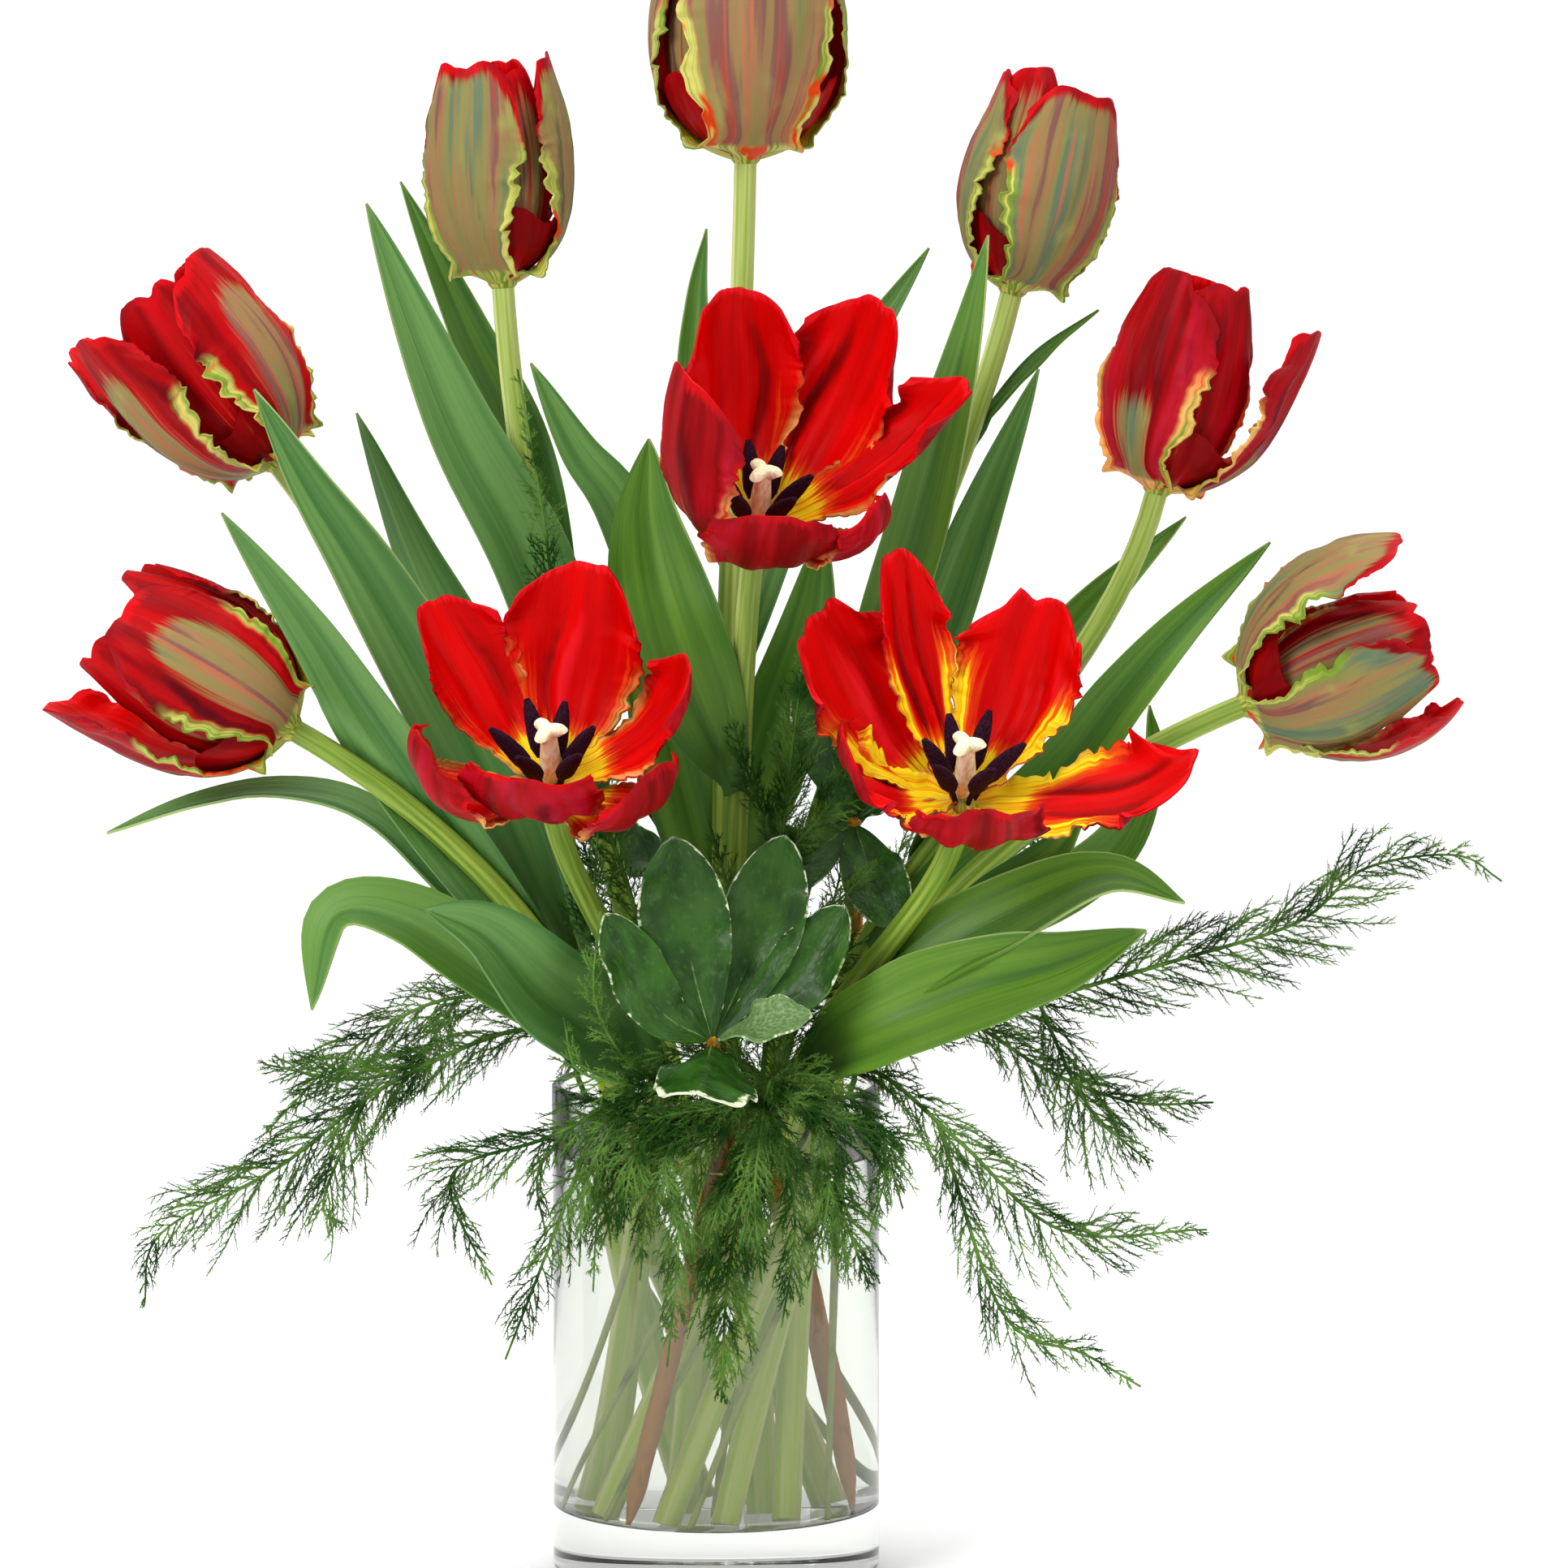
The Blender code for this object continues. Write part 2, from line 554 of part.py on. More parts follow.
def petal(azimuth, length, half_width, leans, inset, rows, columns):
    """A cupped petal with a ruffled edge, rooted in the bloom's receptacle."""
    out = outward(azimuth)
    side = outward(azimuth + 90)
    root, middle, tip = leans
    radius, height = PETAL_SEAT
    line = [(radius, height, root)]
    for k in range(PETAL_STEPS):
        u = (k + 0.5) / PETAL_STEPS
        lean = root * (2 * u - 1) * (u - 1) + middle * 4 * u * (1 - u) + tip * u * (2 * u - 1)
        radius += math.sin(math.radians(lean)) * length / PETAL_STEPS
        height += math.cos(math.radians(lean)) * length / PETAL_STEPS
        line.append((radius, height, lean))
    grid = []
    for i in range(rows + 1):
        u = i / rows
        radius, height, lean = line[round(u * PETAL_STEPS)]
        lean = math.radians(lean)
        width = half_width * max(PETAL_ROOT, math.sin(math.pi * (0.01 + 0.89 * u ** 1.1)) ** 0.75)
        cup = max(radius - inset, width / CUP_HALF_ANGLE) * (1 + CUP_FLARE * math.sin(max(lean, 0)) * u)
        inward = upward(math.sin(lean)) - out * math.cos(lean)
        centre = out * radius + upward(height) + inward * inset
        ruffle = PETAL_RUFFLE * (-1) ** i * min(1, 3 * u)
        row = []
        for v in np.linspace(-1, 1, columns + 1):
            angle = v * width / cup
            ripple = ruffle * abs(v) ** 3 * math.copysign(1, v)
            depth = cup * (1 - math.cos(angle)) + ripple
            row.append(centre + side * cup * math.sin(angle) + inward * depth)
        grid.append(row)
    return blade(grid, PETAL_THICKNESS)


def receptacle():
    """The short seat that a bloom's petals grow from, flat below and above."""
    path = [upward(0), upward(0.44 * RECEPTACLE_HEIGHT), upward(RECEPTACLE_HEIGHT)]
    return tube(path, RECEPTACLE_RADII, STEM_SIDES)


def stamens():
    """Six filaments, each with a long anther."""
    shapes = []
    for k in range(6):
        out = outward(30 + 60 * k)
        path = [out * radius + upward(height) for radius, height in STAMEN_ROUTE]
        shapes.append(tube(path, STAMEN_RADII, 3))
    return shapes


def build_bloom(name):
    """A bloom: three outer and three inner petals, with stamens where it is open."""
    shapes = [receptacle()]
    is_open = name.startswith("open")
    for i, (azimuth, length, half_width, *leans) in enumerate(BLOOMS[name]):
        inner = i > 2
        inset = LAYER_GAP if inner else 0.0
        rows, columns = (5, 3) if is_open or not inner else (3, 2)
        shapes.append(petal(azimuth, length, half_width, leans, inset, rows, columns))
    if is_open:
        shapes += stamens()
    return fuse(f"bloom_{name}", shapes, "petal", bloom_place(TULIPS[name]))


def build_pistil(name):
    """An open bloom's pistil, with three stigma lobes, standing on the receptacle."""
    foot = RECEPTACLE_HEIGHT + SEAT_GAP
    top = foot + PISTIL_LENGTH
    shapes = [tube([upward(foot), upward(foot + 4), upward(top)], PISTIL_RADII, 6)]
    for k in range(3):
        out = outward(120 * k)
        lobe = [out * 0.4 + upward(top - 1.5), out * 2.6 + upward(top + 0.8), out * 3.8 + upward(top - 1.2)]
        shapes.append(tube(lobe, STIGMA_RADII, 4))
    return fuse(f"pistil_{name}", shapes, "pistil", bloom_place(TULIPS[name]))


def build_stem(name):
    """A tulip's stem with its own leaves."""
    tulip = TULIPS[name]
    axis = unit(tulip["axis"])
    end = np.array(tulip["base"]) - axis * SEAT_GAP
    path = stem_path(tulip["neck"], spiral_foot(tulip["neck"]), end, axis)
    shapes = [tube(path, [STEM_RADIUS] * len(path), STEM_SIDES, start=(0, 0, 1), end=axis)]
    for height, points, half_width, facing, fold in LEAVES[name]:
        rows = 5 if half_width > NARROW_LEAF else 4
        shapes.append(leaf([point_at_height(path, height), *points], half_width, facing, fold, rows))
    return fuse(f"stem_{name}", shapes, "tulip_green")


def build_sprig(name):
    """A woody twig, and the whorl of cream-edged leaves on its end."""
    sprig = SPRIGS[name]
    foot = sprig["foot"] or spiral_foot(sprig["neck"])
    low = np.array((*foot, FLOOR))
    high = np.array((*sprig["neck"], VASE_HEIGHT))
    rise = smooth_path([high, *sprig["rise"]], 6)
    radii = [TWIG_RADIUS] * 5 + [(TWIG_RADIUS + TWIG_TIP_RADIUS) / 2, TWIG_TIP_RADIUS]
    twig = fuse(f"twig_{name}", [tube([low, *rise], radii, TWIG_SIDES, start=(0, 0, 1))], "bark")
    along = unit(rise[-1] - rise[-2])
    whorl = rise[-1] + along * SEAT_GAP
    hub = [whorl, whorl + along * 2.0, whorl + along * 4.5]
    shapes = [tube(hub, (1.8, 2.6, 1.6), TWIG_SIDES)]
    for points, half_width, facing, *own_fold in sprig["leaves"]:
        fold = own_fold[0] if own_fold else SPRIG_FOLD
        bud = whorl + along * 2.2
        bud = bud + unit(points[0] - bud) * 1.2
        route = [bud, *points]
        shapes.append(leaf(route, half_width, facing, fold, rows=4, root=0.08, wave=SPRIG_WAVE))
    return twig, fuse(f"sprig_{name}", shapes, "sprig_green")


def spray(route, radii, reach, blocked, draw):
    """A three-sided spray stem whose knots each grow a branchlet on each side, shorter towards both ends.

    One side's branchlets are half as long, and one that would reach another piece is shortened or left out.
    """
    length = np.linalg.norm(np.diff(route, axis=0), axis=1).sum()
    knots = max(int(length / KNOT_SPACING), 3)
    half_knot = KNOT_LENGTH / length / 2
    stations = [0.0]
    for i in range(1, knots):
        stations += [i / knots - half_knot, i / knots + half_knot]
    stations.append(1.0)
    fine = smooth_path(route, FINE_STEPS + 1)
    places = [point_at(fine, u * FINE_STEPS) for u in stations]
    widths = np.interp(stations, np.linspace(0, 1, len(radii)), radii)
    points, faces = tube(places, widths, SPRAY_SIDES, across=(0.05, -0.3, 1.0))
    for i in range(1, len(places) - 2, 2):
        along = unit(places[i + 1] - places[i])
        share = i / (len(places) - 2)
        longest = reach * (0.35 + 0.65 * math.sin(math.pi * (0.12 + 0.8 * share)))
        for k in range(SPRAY_SIDES):
            low, near = i * SPRAY_SIDES, (k + 1) % SPRAY_SIDES
            corners = [low + k, low + near, low + SPRAY_SIDES + near, low + SPRAY_SIDES + k]
            middle = sum(points[c] for c in corners) / 4
            away = unit(middle - (places[i] + places[i + 1]) / 2)
            size = longest * (0.5 if k == SHORT_SIDE else 1.0) * draw.uniform(0.75, 1.1)
            toward = unit(along * 0.75 + away * draw.uniform(0.85, 1.15) + upward(draw.uniform(-0.25, 0.05)))
            for part in (1.0, 0.7, 0.45):
                tip = middle + toward * size * part
                if not blocked(middle, tip):
                    a, b, c, d = corners
                    faces.remove((a, b, c))
                    faces.remove((a, c, d))
                    points.append(tip)
                    apex = len(points) - 1
                    faces += [(a, b, apex), (b, c, apex), (c, d, apex), (d, a, apex)]
                    break
    return points, faces


def build_fern(name, blocked, draw):
    """A wiry fern stem with its sprays of branchlets."""
    fern = FERNS[name]
    low = np.array((*spiral_foot(fern["neck"]), FLOOR))
    high = np.array((*fern["neck"], VASE_HEIGHT))
    ahead = high + unit(high - low) * 6
    route = smooth_path([high, ahead, *fern["route"]], 16)
    shapes = [tube([low, high, *route[1:3]], [FERN_RADIUS] * 4, FERN_SIDES, start=(0, 0, 1))]
    shapes.append(spray(route[1:], (FERN_RADIUS * 0.8, FERN_TIP_RADIUS), fern["reach"], blocked, draw))
    for share, points in fern["forks"]:
        start = point_at(route, share * (len(route) - 1))
        side_route = smooth_path([start, *points], 8)
        shapes.append(spray(side_route, (FORK_RADIUS, FERN_TIP_RADIUS), fern["reach"] * 0.8, blocked, draw))
    return fuse(name, shapes, "fern_green")


def near_test(things, clearance):
    """A function that says whether a needle from one point to another passes within a clearance of things."""
    bpy.context.view_layer.update()
    points, faces = [], []
    for thing in things:
        first = len(points)
        points += [thing.matrix_world @ v.co / MM for v in thing.data.vertices]
        faces += [[first + k for k in p.vertices] for p in thing.data.polygons]
    tree = BVHTree.FromPolygons(points, faces)

    def blocked(start, end):
        for share in np.linspace(0, 1, 9):
            spot = Vector(np.add(start, np.subtract(end, start) * share))
            if tree.find_nearest(spot, clearance + NEEDLE_RADIUS)[0] is not None:
                return True
        return False

    return blocked


def build_vase():
    """The glass cylinder with its thick base and rounded rim, turned about Z."""
    inner = VASE_RADIUS - VASE_WALL
    rim = VASE_HEIGHT - RIM_ROUND
    profile = [
        (VASE_RADIUS - FOOT_CHAMFER, 0), (VASE_RADIUS - 0.4 * FOOT_CHAMFER, 0.4 * FOOT_CHAMFER),
        (VASE_RADIUS, 1.3 * FOOT_CHAMFER), (VASE_RADIUS, rim), (VASE_RADIUS - 0.5 * RIM_ROUND, VASE_HEIGHT),
        (inner + 0.5 * RIM_ROUND, VASE_HEIGHT), (inner, rim), (inner, VASE_BASE),
    ]
    vase = turned("vase", profile, VASE_SIDES, "glass")
    shade_round(vase.data)
    return vase


def turned(name, profile, sides, material):
    """A solid turned about Z from a profile of (radius, height), with flat ends."""
    points = []
    for radius, height in profile:
        for k in range(sides):
            turn = 2 * math.pi * k / sides
            points.append((radius * math.cos(turn), radius * math.sin(turn), height))
    last = (len(profile) - 1) * sides
    faces = [tuple(range(sides - 1, -1, -1)), tuple(range(last, last + sides))]
    for k in range(sides):
        near = (k + 1) % sides
        for i in range(len(profile) - 1):
            a, b = i * sides + k, i * sides + near
            faces.append((a, b, b + sides, a + sides))
    return solid(name, points, faces, material)


def build_water():
    """The water, with a plain hole for every stem."""
    radius = VASE_RADIUS - VASE_WALL - SEAT_GAP
    profile = [(radius, FLOOR), (radius, WATER_LEVEL)]
    water = turned("water", profile, VASE_SIDES, "water")
    cutters = bpy.data.collections.new("holes")
    for name, foot, neck, stem_radius in runs_in_water():
        low, high = np.array((*foot, FLOOR)), np.array((*neck, VASE_HEIGHT))
        along = (high - low) / (high - low)[2]
        ends = [low - along * HOLE_OVERRUN, low + along * (WATER_LEVEL + HOLE_OVERRUN - FLOOR)]
        sides = {STEM_RADIUS: STEM_SIDES, TWIG_RADIUS: TWIG_SIDES}.get(stem_radius, FERN_SIDES)
        wide = (stem_radius + HOLE_CLEARANCE) / math.cos(math.pi / sides)
        points, faces = tube(ends, (wide, wide), sides, start=(0, 0, 1), end=(0, 0, 1))
        cutters.objects.link(solid(f"hole_{name}", points, faces, "water"))
    cut = water.modifiers.new("stem holes", "BOOLEAN")
    cut.operation = "DIFFERENCE"
    cut.operand_type = "COLLECTION"
    cut.collection = cutters
    cut.solver = "EXACT"
    graph = bpy.context.evaluated_depsgraph_get()
    holed = bpy.data.meshes.new_from_object(water.evaluated_get(graph))
    water.modifiers.clear()
    water.data = holed
    for thing in list(cutters.objects):
        bpy.data.objects.remove(thing, do_unlink=True)
    bpy.data.collections.remove(cutters)
    keep_largest_shell(water.data)
    shade_round(water.data)
    return water


def main():
    """Build every piece of the arrangement, all carried by one empty at the origin."""
    clear_scene()
    built = [build_vase(), build_water()]
    for name in TULIPS:
        built += [build_stem(name), build_bloom(name)]
        if name.startswith("open"):
            built.append(build_pistil(name))
    for name in SPRIGS:
        built += build_sprig(name)
    draw = random.Random(7)
    for name in FERNS:
        built.append(build_fern(name, near_test(built, FERN_CLEARANCE), draw))
    arrangement = bpy.data.objects.new("arrangement", None)
    bpy.context.collection.objects.link(arrangement)
    for thing in built:
        thing.parent = arrangement


main()
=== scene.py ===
"""Dresses ten red parrot tulips, asparagus fern and cream-edged sprigs in a clear glass cylinder vase.

Lengths are in millimetres until a mesh is written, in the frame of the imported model: the origin is the
centre of the vase's underside, +Z is up and the front faces -Y. Each piece follows the route of the solid
that it replaces, with the petals' torn edges, the leaves' veins and the fern's needles added.
"""

import logging
import math
from dataclasses import dataclass, field
from enum import Enum
from typing import Any, Callable, ClassVar, Optional, Union

import bpy
import numpy as np
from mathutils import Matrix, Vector
from mathutils.bvhtree import BVHTree


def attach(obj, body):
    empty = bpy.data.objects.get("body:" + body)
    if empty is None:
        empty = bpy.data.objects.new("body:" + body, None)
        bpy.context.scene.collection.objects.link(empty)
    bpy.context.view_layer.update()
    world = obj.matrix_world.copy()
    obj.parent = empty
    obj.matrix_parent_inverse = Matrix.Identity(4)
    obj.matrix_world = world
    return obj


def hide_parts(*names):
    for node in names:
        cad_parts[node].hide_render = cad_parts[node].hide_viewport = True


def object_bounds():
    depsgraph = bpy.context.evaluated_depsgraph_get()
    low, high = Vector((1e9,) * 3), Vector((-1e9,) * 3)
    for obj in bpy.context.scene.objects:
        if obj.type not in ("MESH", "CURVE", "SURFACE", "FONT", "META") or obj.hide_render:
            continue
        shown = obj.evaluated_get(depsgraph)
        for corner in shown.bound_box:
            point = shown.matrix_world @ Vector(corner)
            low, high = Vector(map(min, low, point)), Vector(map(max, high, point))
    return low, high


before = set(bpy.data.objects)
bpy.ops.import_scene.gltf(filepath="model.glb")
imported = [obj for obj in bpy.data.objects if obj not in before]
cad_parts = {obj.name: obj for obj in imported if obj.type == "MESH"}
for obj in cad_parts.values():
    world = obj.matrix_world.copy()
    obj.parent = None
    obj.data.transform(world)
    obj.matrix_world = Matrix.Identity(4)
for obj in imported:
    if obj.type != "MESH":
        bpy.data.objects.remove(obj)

MM = 0.001
CAD_BOX = [list(map(float, corner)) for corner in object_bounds()]
LOG = logging.getLogger("tulips")

Array = np.ndarray
Point = tuple[float, float, float]
Spot = tuple[float, float]
Surface = Callable[[Array, Array], Array]
NearTest = Callable[[Array, Array, Array], bool]
Piece = bpy.types.Object
Node = bpy.types.Node
Socket = bpy.types.NodeSocket
Colour = Union[str, Socket]
Inputs = dict[Union[str, int], Any]

FLOOR = 20.3
RIM = 150.0
WATER_LEVEL = 128.0
SPIRAL_TURN = math.radians(-100)
STEM_CLEARANCE = 4.6
BRANCH_BEND = 0.35
BRANCH_DROOP = 0.12
BRANCH_CLEARANCE = 1.5
BOX_MARGIN = 3.5
MERGE_DISTANCE = 0.02
TINY = 1e-6
UP = np.array((0.0, 0.0, 1.0))


def linear(colour: str) -> tuple[float, float, float, float]:
    """An sRGB hex colour turned to linear values.

    Args:
        colour: The colour as "#RRGGBB".

    Returns:
        Red, green, blue and an alpha of 1.
    """
    parts = [int(colour[i:i + 2], 16) / 255 for i in (1, 3, 5)]
    red, green, blue = (c / 12.92 if c <= 0.04045 else ((c + 0.055) / 1.055) ** 2.4 for c in parts)
    return red, green, blue, 1.0


def unit(vector: Any) -> Array:
    """The vector at length 1."""
    vector = np.array(vector, float)
    return vector / np.linalg.norm(vector)


def units(rows: Array) -> Array:
    """Every row at length 1."""
    return rows / np.linalg.norm(rows, axis=1, keepdims=True)


def smooth_step(value: Array, low: float, high: float) -> Array:
    """Rises smoothly from 0 at low to 1 at high."""
    share = np.clip((value - low) / (high - low), 0.0, 1.0)
    return share * share * (3 - 2 * share)


def bell(value: Array, middle: float, width: float) -> Array:
    """A bell curve that is 1 at its middle."""
    return np.exp(-((value - middle) / width) ** 2)


def run_of(points: Array) -> Array:
    """How far along a path each of its points lies."""
    return np.concatenate([[0], np.cumsum(np.linalg.norm(np.diff(points, axis=0), axis=1))])


def between(at: Any, run: Any, points: Array) -> Array:
    """The points of a path at these places of its run."""
    return np.stack([np.interp(at, run, points[:, k]) for k in range(3)], axis=-1)


def smooth_path(points: Any, count: int) -> Array:
    """Evenly spaced points on a smooth curve through the given points.

    Args:
        points: The points that the curve passes through.
        count: How many points to return.

    Returns:
        An array of count points.
    """
    points = np.array(points, float)
    ends = np.vstack([2 * points[0] - points[1], points, 2 * points[-1] - points[-2]])
    steps_per_span = 12
    fine = []
    for i in range(1, len(ends) - 2):
        a, b, c, d = ends[i - 1:i + 3]
        for t in np.linspace(0, 1, steps_per_span, endpoint=False):
            fine.append(0.5 * (2 * b + (c - a) * t + (2 * a - 5 * b + 4 * c - d) * t ** 2
                               + (3 * b - a - 3 * c + d) * t ** 3))
    fine = np.array(fine + [points[-1]])
    run = run_of(fine)
    return between(np.linspace(0, run[-1], count), run, fine)


def point_at(path: Array, place: float) -> Array:
    """The point of a path at a place counted in its own steps."""
    return between(place, range(len(path)), path)


def heading(path: Array, place: float, half: float) -> Array:
    """The direction of a path at a place, taken over half steps to each side."""
    return unit(point_at(path, place + half) - point_at(path, place - half) + TINY)


def wobble(u: Array, knots: int, draw: np.random.Generator, torn: bool = False) -> Array:
    """A random curve along u, between -1 and 1: uneven waves, or torn points.

    Args:
        u: Places from 0 to 1.
        knots: How many turning points it has.
        draw: The seeded generator.
        torn: Straight runs between points that may lie on either side.

    Returns:
        The curve's value at each u.
    """
    uneven, least_height = 0.38, 0.1
    at = (np.arange(knots + 1) + draw.uniform(-uneven, uneven, knots + 1)) / knots
    signs = draw.choice((-1.0, 1.0), knots + 1) if torn else np.where(np.arange(knots + 1) % 2, 1.0, -1.0)
    heights = draw.uniform(least_height, 1.0, knots + 1) * signs
    low = np.clip(np.searchsorted(at, u) - 1, 0, knots - 1)
    share = np.clip((u - at[low]) / (at[low + 1] - at[low]), 0, 1)
    if not torn:
        share = share * share * (3 - 2 * share)
    return heights[low] * (1 - share) + heights[low + 1] * share


# Finishes


class Nodes:
    """A node tree, and short ways to add to it what the finishes are made of."""

    def __init__(self, tree: bpy.types.NodeTree) -> None:
        """Keep the tree."""
        self.tree = tree

    def fill(self, node: Node, inputs: Inputs) -> None:
        """Set or link a node's inputs, each by name or number, from a value or an output socket."""
        for key, value in inputs.items():
            if isinstance(value, Socket):
                self.tree.links.new(value, node.inputs[key])
            else:
                node.inputs[key].default_value = value

    def add(self, kind: str, inputs: Optional[Inputs] = None, **settings: Any) -> Node:
        """Add a shader node.

        Args:
            kind: The node's type, less the word that they all begin with.
            inputs: What its inputs are filled with.
            **settings: Attributes to set on the node.

        Returns:
            The new node.
        """
        node = self.tree.nodes.new(f"ShaderNode{kind}")
        for key, value in settings.items():
            setattr(node, key, value)
        self.fill(node, inputs or {})
        return node

    def place(self) -> Socket:
        """Where a point of the piece lies in the model's frame, in metres."""
        return self.add("TexCoord").outputs["Object"]

    def height(self) -> Socket:
        """How high a point of the piece lies, in metres."""
        return self.add("SeparateXYZ", {0: self.place()}).outputs[2]

    def lay(self, under: Colour, over: Colour, where: Socket, low: float, high: float) -> Socket:
        """Lay one colour over another where a value is high.

        Args:
            under: The lower colour, as a hex colour or an output socket.
            over: The upper colour.
            where: The value.
            low: The value where the upper colour begins.
            high: The value where it is full, which may be the lower of the two.

        Returns:
            The mixed colour.
        """
        reach = {"Value": where, "From Min": low, "From Max": high}
        share = self.add("MapRange", reach, interpolation_type="SMOOTHSTEP").outputs["Result"]
        ends = [linear(colour) if isinstance(colour, str) else colour for colour in (under, over)]
        return self.add("Mix", {0: share, 6: ends[0], 7: ends[1]}, data_type="RGBA").outputs[2]

    def coats(self, ground: Colour, *coats: tuple[Colour, Socket, float, float]) -> Socket:
        """Lay colours over a ground one after the other, each with its value, low and high."""
        for coat in coats:
            ground = self.lay(ground, *coat)
        return ground

    def ragged(self, name: str, grain: Socket) -> Socket:
        """A piece's attribute plus a grain, so that what is laid by it has a broken border."""
        level = self.add("Attribute", attribute_name=name).outputs["Fac"]
        return self.add("Math", {0: level, 1: grain}, operation="ADD").outputs[0]

    def streaks(self, across: float, along: float) -> Socket:
        """Noise drawn out along the piece, which differs for each petal or leaf.

        Args:
            across: How many grains there are over the width of a petal or leaf.
            along: How many there are over its length.

        Returns:
            The noise.
        """
        flat = self.add("TexCoord").outputs["UV"]
        drawn = self.add("Mapping", {"Vector": flat, "Scale": (across, along, 1.0)}).outputs[0]
        seed = self.add("Attribute", attribute_name="seed").outputs["Fac"]
        grain = {"Vector": drawn, "W": seed, "Scale": 1.0, "Detail": 3.0}
        return self.add("TexNoise", grain, noise_dimensions="4D").outputs["Fac"]

    def relief(self, height: Socket, depth: float, strength: float) -> Socket:
        """A surface raised by a value to this depth in millimetres."""
        return self.add("Bump", {"Height": height, "Strength": strength, "Distance": depth * MM}).outputs[0]


@dataclass(frozen=True)
class Finish:
    """What every finish has: its name, its gloss, and the material made from them."""

    specular: ClassVar[float] = 0.15

    name: str
    roughness: float = 0.5

    def material(self) -> bpy.types.Material:
        """The material of this name, made the first time it is asked for."""
        found = bpy.data.materials.get(self.name)
        if found is not None:
            return found
        made = bpy.data.materials.new(self.name)
        made.use_nodes = True
        nodes = Nodes(made.node_tree)
        gloss = {"Roughness": self.roughness, "Specular IOR Level": self.specular}
        nodes.fill(made.node_tree.nodes["Principled BSDF"], {**gloss, **self.inputs(nodes)})
        return made

    def inputs(self, nodes: Nodes) -> Inputs:
        """The finish's own inputs of the shader."""
        return {}

    def skin(self, nodes: Nodes, colour: Socket, height: Socket, depth: float) -> Inputs:
        """The inputs of an opaque skin, with a relief in millimetres that is duller in its hollows."""
        duller, glossier = self.roughness + 0.12, self.roughness - 0.06
        gloss = {"Value": height, "From Min": 0.3, "From Max": 0.7, "To Min": duller, "To Max": glossier}
        return {"Base Color": colour, "Normal": nodes.relief(height, depth, 0.7),
                "Roughness": nodes.add("MapRange", gloss).outputs["Result"]}


@dataclass(frozen=True)
class Clear(Finish):
    """Blown soda-lime glass, or still water: colourless, and the eye reads it by its bright edges only."""

    specular: ClassVar[float] = 0.25
    waves_per_metre: ClassVar[float] = 33.0

    ior: float = 1.5
    tint: str = "#FDFEFE"
    roll: float = 0.02

    def inputs(self, nodes: Nodes) -> Inputs:
        """Clear, with a slow wave in its surface, 30 mm from crest to crest."""
        grain = {"Vector": nodes.place(), "Scale": self.waves_per_metre, "Detail": 1.0}
        wave = nodes.add("TexNoise", grain).outputs["Fac"]
        return {"Base Color": linear(self.tint), "Transmission Weight": 1.0, "IOR": self.ior,
                "Normal": nodes.relief(wave, self.roll, 0.6)}


class Side(Enum):
    """The two faces of a petal."""

    OUTER = "outer"
    INNER = "inner"


